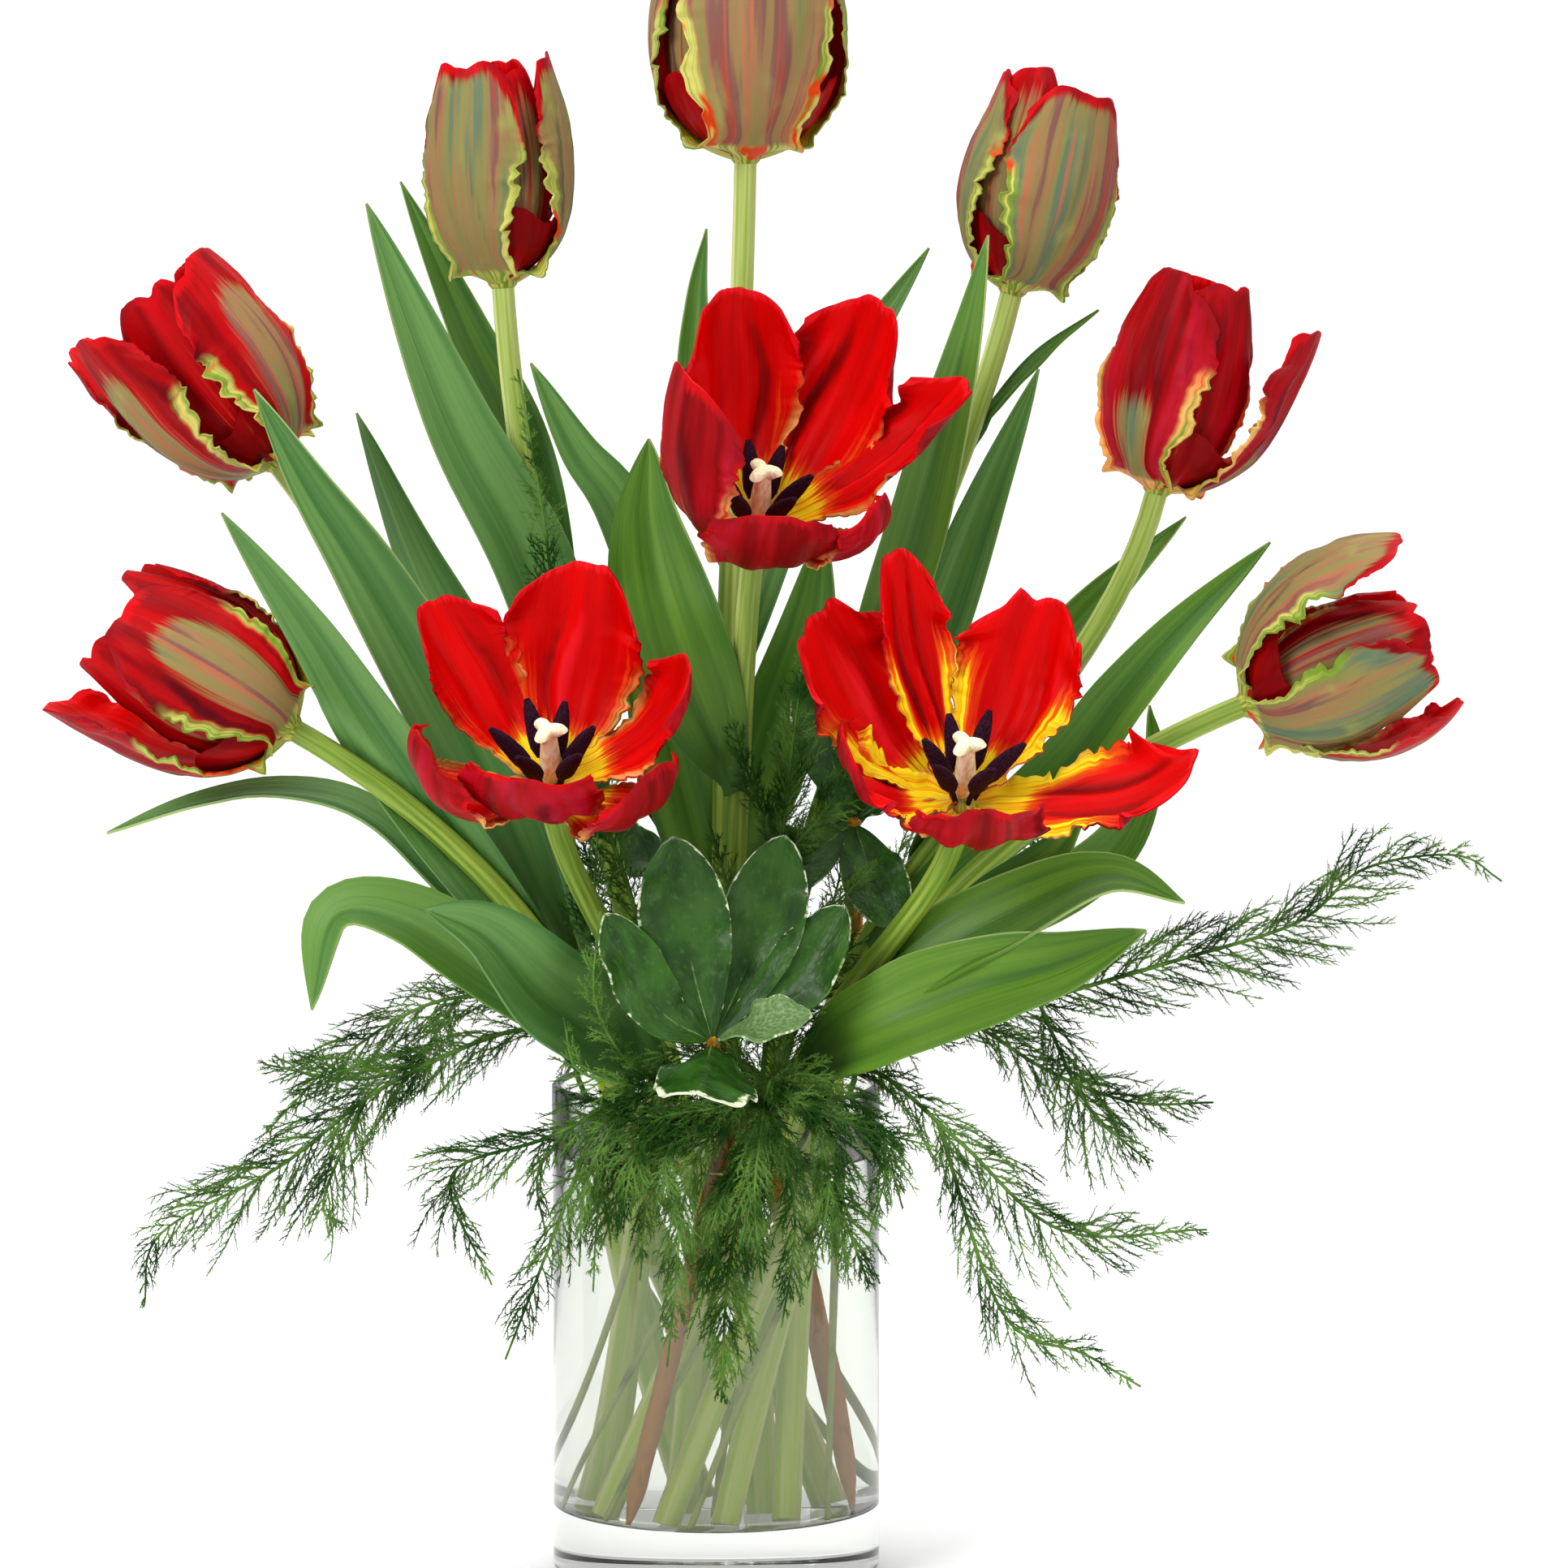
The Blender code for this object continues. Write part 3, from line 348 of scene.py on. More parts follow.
@dataclass(frozen=True)
class PetalSkin(Finish):
    """Satin petal skin, whose cells stand in rows along the petal, so its colours and light run in streaks.

    A parrot tulip is red, with a green and tan flame outside and a yellow heart inside.
    """

    specular: ClassVar[float] = 0.06

    side: Side = Side.OUTER

    def inputs(self, nodes: Nodes) -> Inputs:
        """Streaks 1 mm and 4 mm wide from the root to the tip, and clouds of a centimetre."""
        fine = nodes.streaks(30.0, 1.2)
        broad = nodes.streaks(6.0, 0.7)
        cloud = nodes.streaks(3.0, 3.5)
        paint = self.outer if self.side is Side.OUTER else self.inner
        return self.skin(nodes, paint(nodes, fine, broad, cloud), fine, 0.3)

    def fringe(self, nodes: Nodes, colour: Socket, fine: Socket, cloud: Socket) -> Socket:
        """The frilled edge low on the petal: lime with orange spots, or amber on an open bloom."""
        edge = nodes.coats("#6E8A2A", ("#C2BC62", fine, 0.38, 0.62), ("#CC3A0C", cloud, 0.56, 0.62),
                           ("#EDA860", nodes.ragged("dusk", fine), 0.75, 1.0))
        return nodes.lay(colour, edge, nodes.ragged("lime", cloud), 0.8, 1.2)

    def flame(self, nodes: Nodes, fine: Socket, broad: Socket, cloud: Socket) -> Socket:
        """Streaks of sage, olive, tan, mauve and brick, with salmon and lime in them, and painted shade in
        the folds.
        """
        return nodes.coats("#5C6E54", ("#7E7A46", broad, 0.36, 0.46), ("#8C7048", broad, 0.47, 0.54),
                           ("#775048", broad, 0.55, 0.61), ("#9C4436", broad, 0.61, 0.68),
                           ("#B05C46", fine, 0.52, 0.72), ("#949450", cloud, 0.55, 0.75),
                           # painted shade: darker where the pleats' hollows lie
                           ("#3C4A30", nodes.ragged("crease", fine), 0.1, -0.5))

    def outer(self, nodes: Nodes, fine: Socket, broad: Socket, cloud: Socket) -> Socket:
        """Crimson, rosy on an open bloom, with painted shade in the folds, a soft flame up the middle and
        scarlet tips.
        """
        rosy = nodes.lay("#6C1430", "#A42038", cloud, 0.34, 0.66)
        tips = nodes.lay("#8C0A14", "#C0040E", cloud, 0.4, 0.6)
        flame = self.flame(nodes, fine, broad, cloud)
        colour = nodes.coats("#720206", ("#B00208", broad, 0.34, 0.66),
                             (rosy, nodes.ragged("dusk", broad), 0.85, 1.25),
                             # painted shade in the hollows of the pleats
                             ("#4C0008", nodes.ragged("crease", cloud), 0.3, -0.4),
                             (flame, nodes.ragged("feather", fine), 0.8, 1.12),
                             (tips, nodes.ragged("blush", fine), 1.0, 1.45))
        return self.fringe(nodes, colour, fine, cloud)

    def inner(self, nodes: Nodes, fine: Socket, broad: Socket, cloud: Socket) -> Socket:
        """Blood red, with painted shade in the folds and painted highlights on the ridges and rims, and an
        orange and yellow root.
        """
        glow = nodes.ragged("gold", fine)
        heart = nodes.lay("#EE9A08", "#F4DC1C", fine, 0.38, 0.56)
        colour = nodes.coats("#B40000", ("#D40000", broad, 0.32, 0.68),
                             # painted shade in the hollows of the pleats
                             ("#7C0000", nodes.ragged("crease", cloud), 0.3, -0.4),
                             # painted highlight on the ridges of the pleats
                             ("#DE1420", nodes.ragged("crease", broad), 0.95, 1.5),
                             # painted highlight: a lighter red along the rims and at the tip
                             ("#E21822", nodes.ragged("blush", fine), 1.25, 1.6),
                             ("#DC4A08", glow, 0.66, 1.0), (heart, glow, 0.95, 1.2))
        return self.fringe(nodes, colour, fine, cloud)


@dataclass(frozen=True)
class LeafSkin(Finish):
    """A waxy tulip leaf: veins a millimetre apart, and a grey-green bloom that rubs off in patches."""

    specular: ClassVar[float] = 0.3

    def inputs(self, nodes: Nodes) -> Inputs:
        """Dark veins along the leaf, a shaded root, a pale edge, and a hue that each leaf has of its own."""
        veins = nodes.streaks(26.0, 0.6)
        broad = nodes.streaks(4.0, 0.9)
        cloud = nodes.streaks(1.6, 2.4)
        fresh = nodes.lay("#2E5E0C", "#5E8822", broad, 0.3, 0.7)
        colour = nodes.coats("#36682A", ("#648E48", broad, 0.3, 0.7),
                             (fresh, nodes.ragged("sun", cloud), 0.65, 1.25),
                             ("#2A5618", veins, 0.5, 0.95),
                             ("#2A5210", nodes.ragged("shade", cloud), 0.9, 1.7),
                             ("#A9BE74", nodes.ragged("edge", veins), 1.35, 1.7))
        return self.skin(nodes, colour, veins, 0.3)


@dataclass(frozen=True)
class StemSkin(Finish):
    """A tulip's smooth flower stalk: bleached in the water and painted paler still there as painted light,
    deep green above it, paler towards the bloom.
    """

    specular: ClassVar[float] = 0.2

    def inputs(self, nodes: Nodes) -> Inputs:
        """Fibres 2 mm across that run its whole length; the colour changes with the height."""
        grain = nodes.streaks(9.0, 3.0)
        height = nodes.height()
        low = nodes.lay("#54781A", "#9CB444", grain, 0.34, 0.66)
        high = nodes.lay("#88A234", "#D2D890", grain, 0.34, 0.66)
        dry = nodes.lay(low, high, height, 0.2, 0.42)
        # Below the water: the stalk's own bleaching, lightened further as painted light for the light that
        # the glass and water hold back.
        colour = nodes.coats("#CAEE30", ("#FAFF9C", grain, 0.4, 0.6), (dry, height, 0.1, 0.2))
        return self.skin(nodes, colour, grain, 0.1)


@dataclass(frozen=True)
class CreamEdgedLeaf(Finish):
    """A leathery evergreen leaf: a dark gloss, a pale midrib, and cream let in unevenly from the edge."""

    specular: ClassVar[float] = 0.22

    def inputs(self, nodes: Nodes) -> Inputs:
        """Dark green, lighter in clouds of 8 mm, with a cream edge that breaks up into teeth."""
        cloud = nodes.streaks(4.0, 5.0)
        fine = nodes.streaks(14.0, 26.0)
        under = nodes.lay("#54743E", "#7C9C64", fine, 0.35, 0.7)
        green = nodes.coats("#183C08", ("#305A16", cloud, 0.3, 0.7), ("#42702A", fine, 0.5, 0.9),
                            (under, nodes.ragged("sun", cloud), 0.9, 1.5))
        colour = nodes.coats(green, ("#7E9C5C", nodes.ragged("edge", cloud), 1.34, 1.5),
                             ("#DCE4C4", nodes.ragged("edge", fine), 1.42, 1.54),
                             (green, cloud, 0.52, 0.58),
                             ("#86A260", nodes.ragged("rib", fine), 1.0, 1.5))
        return self.skin(nodes, colour, fine, 0.4)


@dataclass(frozen=True)
class Mottled(Finish):
    """A skin that two colours and a grain describe.

    Pollen is dark and powdery, a pistil is moist flesh, and a stigma is downy.
    """

    dark: str = "#000000"
    light: str = "#FFFFFF"
    grain_mm: float = 1.0
    stretch: float = 1.0
    depth: float = 0.1

    def inputs(self, nodes: Nodes) -> Inputs:
        """A grain of this size, drawn out upwards by the stretch."""
        size = 1.0 / (self.grain_mm * MM)
        scale = {"Vector": nodes.place(), "Scale": (size, size, size / self.stretch)}
        drawn = nodes.add("Mapping", scale).outputs[0]
        grain = nodes.add("TexNoise", {"Vector": drawn, "Scale": 1.0}).outputs["Fac"]
        return self.skin(nodes, self.colour(nodes, grain), grain, self.depth)

    def colour(self, nodes: Nodes, grain: Socket) -> Socket:
        """The two colours mixed by the grain."""
        return nodes.lay(self.dark, self.light, grain, 0.36, 0.64)


@dataclass(frozen=True)
class PaleUnderWater(Mottled):
    """Matt fern, lighter and darker every centimetre, or brown and furrowed bark, painted paler in the water
    as painted light for the light that the glass and water hold back.
    """

    wall: ClassVar[tuple[float, float]] = (0.0465, 0.05)

    # The colour below the water, lightened as painted light for the light that the glass and water hold back.
    wet: str = "#C0D468"

    def colour(self, nodes: Nodes, grain: Socket) -> Socket:
        """The mottled skin, painted paler inside the vase and below the water's level: painted light for the
        light that the glass and water hold back.
        """
        level = {0: nodes.place(), 1: (1.0, 1.0, 0.0)}
        level = nodes.add("VectorMath", level, operation="MULTIPLY").outputs[0]
        across = nodes.add("VectorMath", {0: level}, operation="LENGTH").outputs["Value"]
        surface = WATER_LEVEL * MM
        dry = super().colour(nodes, grain)
        # painted light: paler below the water's level
        low = nodes.coats(self.light, (self.wet, grain, 0.2, 0.5),
                          (dry, nodes.height(), surface - 0.01, surface + 0.02))
        return nodes.lay(low, dry, across, *self.wall)


GLASS = Clear("blown soda-lime glass", 0.0, 1.48, "#E6E8E4", 0.02)
WATER = Clear("still water", 0.0, 1.333, "#FEFFFE", 0.004)
PETAL_OUTER = PetalSkin("parrot petal, outer face", 0.45, Side.OUTER)
PETAL_INNER = PetalSkin("parrot petal, inner face", 0.42, Side.INNER)
TULIP_LEAF = LeafSkin("waxy tulip leaf", 0.45)
TULIP_STALK = StemSkin("tulip flower stalk", 0.4)
CREAM_LEAF = CreamEdgedLeaf("cream-edged evergreen leaf", 0.34)
BARK = PaleUnderWater("young bark", 0.75, "#7C4A04", "#BA8220", 1.6, 4.0, 0.3, "#DC9420")
FERN = PaleUnderWater("asparagus fern", 0.6, "#1A4206", "#5E8636", 14.0)
ANTHER = Mottled("anther with dark pollen", 0.85, "#14040E", "#36102A", 0.5)
PISTIL = Mottled("pistil flesh", 0.5, "#F0C890", "#FFF0CC", 1.5, 3.0)
STIGMA = Mottled("downy stigma", 0.8, "#EADFA6", "#FCF8DC", 0.8)


# Shaping


def clear_selection() -> None:
    """Deselect everything, because an operator acts on all that is selected."""
    bpy.ops.object.select_all(action="DESELECT")


def read_points(piece: Piece) -> Array:
    """A piece's points, in metres."""
    flat = np.zeros(len(piece.data.vertices) * 3)
    piece.data.vertices.foreach_get("co", flat)
    return flat.reshape(-1, 3)


def write_points(piece: Piece, points: Array) -> None:
    """Put a piece's points at these places, given in millimetres."""
    piece.data.vertices.foreach_set("co", (np.array(points, float) * MM).ravel())
    piece.data.update()


def write_values(piece: Piece, **values: Any) -> None:
    """Store a value for each of a piece's points, under each name."""
    for name, value in values.items():
        stored = piece.data.attributes.new(name, "FLOAT", "POINT")
        every = np.broadcast_to(np.array(value, np.float32), len(piece.data.vertices))
        stored.data.foreach_set("value", np.ascontiguousarray(every))


def sheet(name: str, columns: int, rows: int, surface: Surface) -> tuple[Piece, Array, Array]:
    """A grid laid onto a surface.

    Args:
        name: The object's name.
        columns: Faces across it.
        rows: Faces along it.
        surface: Gives a point for each u from 0 to 1 along and v from -1 to 1 across.

    Returns:
        The object, and u and v of its points.
    """
    clear_selection()
    bpy.ops.mesh.primitive_grid_add(x_subdivisions=columns, y_subdivisions=rows, size=1)
    piece = bpy.context.object
    piece.name = name
    grid = read_points(piece)
    u, v = grid[:, 1] + 0.5, grid[:, 0] * 2
    write_points(piece, surface(u, v))
    return piece, u, v


def close_up() -> None:
    """Merge the active piece's points that lie on one another, and turn its faces outwards."""
    bpy.ops.object.mode_set(mode="EDIT")
    bpy.ops.mesh.select_all(action="SELECT")
    bpy.ops.mesh.remove_doubles(threshold=MERGE_DISTANCE * MM)
    bpy.ops.mesh.normals_make_consistent(inside=False)
    bpy.ops.object.mode_set(mode="OBJECT")


def thicken(piece: Piece, thickness: float, inner_slot: int = 0) -> None:
    """Give a sheet its thickness to both sides, with the second face in its own material slot."""
    shell = piece.modifiers.new("thickness", "SOLIDIFY")
    shell.thickness = thickness * MM
    shell.offset = 0.0
    shell.material_offset = inner_slot
    bpy.ops.object.modifier_apply(modifier=shell.name)


def dressed(piece: Piece, *finishes: Finish) -> Piece:
    """Give a piece its materials."""
    for finish in finishes:
        piece.data.materials.append(finish.material())
    return piece


def tube(name: str, path: Any, radii: Any, sides: int, lobes: int = 0, depth: float = 0.0) -> Piece:
    """A closed tube along a path, its radii spread evenly over the path's length.

    Args:
        name: The object's name.
        path: The middle of the tube.
        radii: Radii from one end to the other.
        sides: Faces round it.
        lobes: How many lobes its section has.
        depth: How far each lobe stands out, as a share of the radius.

    Returns:
        The object.
    """
    end_length, end_radius = 0.05, 0.005
    path = np.array(path, float)
    run = run_of(path)
    widths = np.interp(run / run[-1], np.linspace(0, 1, len(radii)), radii)
    low, high = unit(path[1] - path[0]), unit(path[-1] - path[-2])
    centres = np.vstack([path[0] - low * end_length, path, path[-1] + high * end_length])
    widths = np.concatenate([[end_radius], widths, [end_radius]])
    first, second = np.zeros_like(centres), np.zeros_like(centres)
    across = np.array((1.0, 0.03, 0.0))
    for i, direction in enumerate(np.gradient(centres, axis=0)):
        direction = unit(direction)
        across = unit(across - across.dot(direction) * direction)
        first[i], second[i] = across, np.cross(direction, across)

    def surface(u: Array, v: Array) -> Array:
        """The tube's skin at u along and v round."""
        ring = np.rint(u * (len(widths) - 1)).astype(int)
        turn = math.pi * (v + 1)
        reach = (widths[ring] * (1 + depth * np.cos(lobes * turn)))[:, None]
        round_it = np.cos(turn)[:, None] * first[ring] + np.sin(turn)[:, None] * second[ring]
        return centres[ring] + reach * round_it

    piece, _, _ = sheet(name, sides, len(widths) - 1, surface)
    close_up()
    return piece


def upright(*heights: float) -> Array:
    """A path straight up a bloom's axis through these heights."""
    return np.array([(0.0, 0.0, height) for height in heights])


def join(name: str, parts: list[Piece]) -> Piece:
    """Make one object of several and shade its round faces smooth."""
    clear_selection()
    for part in parts:
        part.select_set(True)
    bpy.context.view_layer.objects.active = parts[0]
    if len(parts) > 1:
        bpy.ops.object.join()
    whole = bpy.context.view_layer.objects.active
    whole.name = name
    whole.data.name = name
    bpy.ops.object.shade_smooth_by_angle(angle=math.radians(50))
    return whole


def settle(piece: Piece, node: str) -> None:
    """Press the few points that pass the model's box back onto it, and put the piece in its solid's place."""
    write_points(piece, np.clip(read_points(piece), *CAD_BOX) / MM)
    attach(piece, "root")
    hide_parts(node)
    LOG.info("%s: %d faces for %s", piece.name, len(piece.data.polygons), node)


def spiral_foot(neck: Spot) -> Spot:
    """Where a stem that crosses the rim's height at neck stands on the vase's floor."""
    cos, sin = math.cos(SPIRAL_TURN), math.sin(SPIRAL_TURN)
    return neck[0] * cos - neck[1] * sin, neck[0] * sin + neck[1] * cos


def below_rim(neck: Spot, count: int, foot: Optional[Spot] = None) -> tuple[list[Array], Array, Array]:
    """The straight run of a stem from the vase's floor to the rim's height.

    Args:
        neck: Where it crosses the rim's height.
        count: How many points it has below that height.
        foot: Where it stands, if that isn't its place in the spiral.

    Returns:
        Its points, the place where it crosses the rim's height, and its direction.
    """
    low = np.array((*(foot or spiral_foot(neck)), FLOOR))
    high = np.array((*neck, RIM))
    run = [low + (high - low) * share for share in np.linspace(0, 1, count + 1)[:-1]]
    return run, high, unit(high - low)


# Vase and water


@dataclass
class Vase:
    """A clear cylinder vase with a thick base, and the water in it."""

    radius: float = 50.0
    height: float = RIM
    wall: float = 3.0
    base: float = 20.0
    foot_bevel: float = 2.0
    floor_fillet: float = 3.0
    punt: float = 1.2
    punt_radius: float = 35.0
    ring_radius: float = 44.0
    sides: int = 144
    overlap: float = 0.1
    meniscus: tuple[Spot, ...] = ((0.0, 1.4), (0.7, 0.5), (2.2, 0.0))

    def turned(self, name: str, profile: list[Spot]) -> Piece:
        """Draw a disc up through the rings of a profile by extruding and resizing it.

        Args:
            name: The object's name.
            profile: (radius, height) of each ring, from the underside on.

        Returns:
            The object.
        """
        radius, height = profile[0]
        clear_selection()
        bpy.ops.mesh.primitive_circle_add(vertices=self.sides, radius=radius * MM, fill_type="NGON",
                                          location=(0, 0, height * MM))
        piece = bpy.context.object
        bpy.ops.object.transform_apply(location=True)
        bpy.ops.object.mode_set(mode="EDIT")
        bpy.ops.mesh.select_all(action="SELECT")
        for (last, below), (here, above) in zip(profile, profile[1:]):
            rise = {"value": (0, 0, (above - below) * MM)}
            bpy.ops.mesh.extrude_region_move(TRANSFORM_OT_translate=rise)
            bpy.ops.transform.resize(value=(here / last, here / last, 1))
        bpy.ops.mesh.select_all(action="SELECT")
        bpy.ops.mesh.normals_make_consistent(inside=False)
        bpy.ops.object.mode_set(mode="OBJECT")
        return join(name, [piece])

    def build(self) -> None:
        """Make the glass and the water."""
        inner = self.radius - self.wall
        half, bevel, fillet = self.wall / 2, self.foot_bevel, self.floor_fillet
        quarter = [(math.sin(t), math.cos(t)) for t in np.linspace(0, math.pi / 2, 5)]
        foot = [(self.radius - bevel * (1 - sin), bevel * (1 - cos)) for sin, cos in quarter]
        lip = [(self.radius - half + half * math.cos(t), self.height - half + half * math.sin(t))
               for t in np.linspace(0, math.pi, 9)]
        floor = [(inner - fillet * (1 - cos), self.base + fillet * (1 - sin)) for sin, cos in quarter]
        underside = [(self.punt_radius, self.punt), (self.ring_radius, 0.0)]
        glass = self.turned("vase_glass", [*underside, *foot, *lip, *floor])
        settle(dressed(glass, GLASS), "vase")
        wet = inner + self.overlap
        corner = [(wet - fillet * (1 - sin), self.base + fillet * (1 - cos) - self.overlap)
                  for sin, cos in quarter]
        level = [(wet - inset, WATER_LEVEL + rise) for inset, rise in self.meniscus]
        water = self.turned("vase_water", [*corner, *level])
        settle(dressed(water, WATER), "water")


# Tulips


@dataclass(frozen=True)
class BloomStyle:
    """How a bloom's petals are ruffled, torn and coloured; lengths in millimetres, the rest shares."""

    ruffle: float = 1.4
    roll: float = 1.0
    flare: float = 2.6
    crimp: float = 0.5
    low_crimp: float = 1.3
    tear: float = 0.05
    low_tear: float = 0.12
    notch: float = 0.04
    dome: float = 0.13
    skirt: float = 0.28
    hang: float = 7.0
    taper: float = 0.24
    pleat: float = 0.8
    pleats: int = 9
    folds: int = 7
    flame: float = 1.0
    flame_reach: float = 1.15
    flame_end: float = 1.0
    lime: float = 1.0
    gold: float = 0.3
    dusk: float = 0.1
    rows: int = 80
    columns: int = 26


BUD = BloomStyle()
RED_BUD = BloomStyle(flame=0.75, flame_reach=0.58, flame_end=0.88, lime=0.85, roll=1.5, ruffle=1.8,
                     pleat=1.1, dusk=0.2)
DARK_BUD = BloomStyle(flame=0.65, flame_reach=0.5, flame_end=0.55, lime=0.85, dusk=0.4, roll=2.0,
                      ruffle=2.2, notch=0.05, pleat=1.4)
OPEN = BloomStyle(ruffle=3.0, roll=5.5, flare=0.6, low_crimp=0.9, low_tear=0.1, notch=0.03, dome=0.2,
                  skirt=0.14, hang=3.0, taper=0.16, pleat=1.9, pleats=6, folds=5, flame=0.4,
                  flame_reach=0.5, flame_end=0.55, lime=0.5, gold=0.28, dusk=0.42)
GOLDEN = BloomStyle(ruffle=3.6, roll=5.0, flare=0.6, crimp=0.8, low_crimp=1.2, tear=0.08, low_tear=0.14,
                    notch=0.05, dome=0.2, skirt=0.14, hang=3.0, taper=0.16, pleat=2.0, pleats=6, folds=6,
                    flame=0.5, flame_reach=0.6, flame_end=0.6, lime=0.42, gold=0.76, dusk=0.42)


class Ruffles:
    """The random curves of one petal: its tears, folds, crimps, notches and pleats."""

    def __init__(self, style: BloomStyle, seed: int) -> None:
        """Draw the curves; the first four come as one for each side of the petal."""
        draw = np.random.default_rng(seed)
        self.rows, self.seed = style.rows, seed
        along = np.linspace(0, 1, style.rows + 1)
        across = np.linspace(0, 1, style.columns + 1)
        self.tears = [0.55 * wobble(along, 34, draw, True) + 0.45 * wobble(along, 13, draw, True)
                      for _ in range(2)]
        self.folds = [wobble(along, style.folds, draw) for _ in range(2)]
        swell = [0.4 + 1.2 * np.abs(wobble(along, 9, draw)) for _ in range(2)]
        self.crimps = [bulge * (0.6 * wobble(along, 19, draw) + 0.5 * wobble(along, 43, draw))
                       for bulge in swell]
        self.notches = wobble(across, 7, draw, True)
        self.pleats = wobble(across, style.pleats, draw)

    def beside(self, pair: list[Array], u: Array, v: Array) -> Array:
        """The value of a pair of curves at u, for the side of the petal that v lies on."""
        row = np.rint(u * self.rows).astype(int)
        return np.where(v > 0, pair[1][row], pair[0][row])

    def notch(self, v: Array) -> Array:
        """How far the tip is cut in at v."""
        return self.notches[np.rint((v + 1) / 2 * (len(self.notches) - 1)).astype(int)]

    def pleat(self, u: Array, v: Array) -> Array:
        """The height of the pleats, which run up the petal and sway a little."""
        sway = 0.12 * np.sin(2.3 * u * math.pi + self.seed)
        return np.interp(v + sway, np.linspace(-1, 1, len(self.pleats)), self.pleats)


@dataclass
class Petal:
    """A petal in its bloom's frame. Azimuth 0 faces the front; the leans are degrees from the axis."""

    azimuth: float
    length: float
    half_width: float
    root: float
    middle: float
    tip: float

    seat: ClassVar[Spot] = (3.4, 1.2)
    cup_half_angle: ClassVar[float] = math.radians(60)
    cup_flare: ClassVar[float] = 1.2
    thickness: ClassVar[float] = 0.6
    inner_inset: ClassVar[float] = 3.0
    inner_ruffle: ClassVar[float] = 0.25
    widest: ClassVar[float] = 0.6
    skirt_place: ClassVar[tuple[float, float]] = (0.1, 0.05)
    midrib_depth: ClassVar[float] = 0.7
    steps: ClassVar[int] = 240

    def middle_line(self, u: Array) -> tuple[Array, Array, Array]:
        """Radius, height and lean of the petal's middle at u.

        Args:
            u: Places from the root, 0, to the tip, 1.

        Returns:
            Radius and height in millimetres, and the lean in radians.
        """
        fine = np.linspace(0, 1, self.steps + 1)
        lean = np.radians(self.root * (2 * fine - 1) * (fine - 1) + self.middle * 4 * fine * (1 - fine)
                          + self.tip * fine * (2 * fine - 1))
        step = self.length / self.steps
        radius = self.seat[0] + np.concatenate([[0], np.cumsum(np.sin(lean[:-1]) * step)])
        height = self.seat[1] + np.concatenate([[0], np.cumsum(np.cos(lean[:-1]) * step)])
        return np.interp(u, fine, radius), np.interp(u, fine, height), np.interp(u, fine, lean)

    def outline(self, u: Array, style: BloomStyle) -> Array:
        """Half the petal's width at u: a broad blade with a blunt tip, and frilled lobes low down."""
        rise = 0.22 + 0.78 * np.sin(np.clip(u / self.widest, 0, 1) * math.pi / 2) ** 1.15
        fall = 1 - style.taper * np.clip((u - self.widest) / (1 - self.widest), 0, 1) ** 2.4
        return self.half_width * (rise * fall + style.skirt * bell(u, *self.skirt_place))

    def ripple(self, u: Array, v: Array, style: BloomStyle, inner: bool, curves: Ruffles) -> Array:
        """How far the ruffled petal stands in from its smooth cup, in millimetres."""
        edge, low = np.abs(v), 1 - smooth_step(u, 0.5, 0.75)
        fold, crimp = curves.beside(curves.folds, u, v), curves.beside(curves.crimps, u, v)
        share = self.inner_ruffle if inner else 1.0
        ripple = style.ruffle * edge ** 2.2 * fold * smooth_step(u, 0.1, 0.4)
        ripple = ripple + style.roll * edge ** 3 * smooth_step(u, 0.4, 0.9)
        ripple = ripple - style.flare * share * edge ** 3 * (1 - smooth_step(u, 0.25, 0.65))
        skirt = bell(u, *self.skirt_place)
        ripple = ripple - style.hang * share * edge ** 3 * skirt * (1 + 0.5 * crimp)
        ripple = ripple + (style.crimp + style.low_crimp * low) * edge ** 5 * crimp
        pleat = style.pleat * curves.pleat(u, v) * np.sin(math.pi * u) ** 0.7
        ripple = ripple + pleat * (1 - 0.6 * edge ** 4)
        midrib = self.midrib_depth * bell(v, 0.0, 0.08) * np.sin(math.pi * u)
        return (ripple - midrib) * smooth_step(u, 0.02, 0.12)

    def masks(self, u: Array, v: Array, style: BloomStyle, inner: bool, curves: Ruffles) -> dict[str, Array]:
        """How much of each colour lies at each point, by the name of its attribute."""
        edge = np.abs(v)
        reach = style.flame_reach * (0.6 if inner else 1.0)
        feather = style.flame * (1 - smooth_step(edge - reach + 0.35 * u ** 4, -0.35, 0.2))
        feather = feather * (0.55 if inner else 1.0)
        feather = feather * (1 - smooth_step(u, style.flame_end - 0.2, style.flame_end + 0.1))
        lime = smooth_step(edge, 0.6, 0.96) * (1 - smooth_step(u, 0.45, 0.85)) * style.lime
        root = (1 - smooth_step(u, 0.05, 0.18)) * style.lime
        sides = style.gold * smooth_step(edge, 0.35, 0.8) * (1 - smooth_step(u, 0.4, 0.8))
        gold = np.maximum(1 - smooth_step(u, 0.1, 0.38), sides)
        # Red tips and edges on the outer face; on the inner face, a painted rim highlight.
        blush = smooth_step(edge, 0.84, 1.0) * smooth_step(u, 0.5, 0.8) + smooth_step(u, 0.88, 1.0)
        # The pleats' height, painted as shade in the hollows and as a highlight on the ridges.
        crease = curves.pleat(u, v) * np.sin(math.pi * u) ** 0.7
        return {"feather": feather, "lime": np.maximum(lime, root), "gold": gold, "blush": blush,
                "crease": crease}

    def sheet(self, name: str, style: BloomStyle, inner: bool, seed: int) -> Piece:
        """The petal with its ruffles, torn edges and colour masks.

        Args:
            name: The object's name.
            style: How this bloom's petals are ruffled and coloured.
            inner: Whether it is one of the three inner petals.
            seed: Seeds the petal's own shape.

        Returns:
            The object.
        """
        curves = Ruffles(style, seed)
        azimuth = math.radians(self.azimuth)
        out = np.array((math.sin(azimuth), -math.cos(azimuth), 0.0))
        side = np.array((math.cos(azimuth), math.sin(azimuth), 0.0))
        inset = self.inner_inset if inner else 0.0

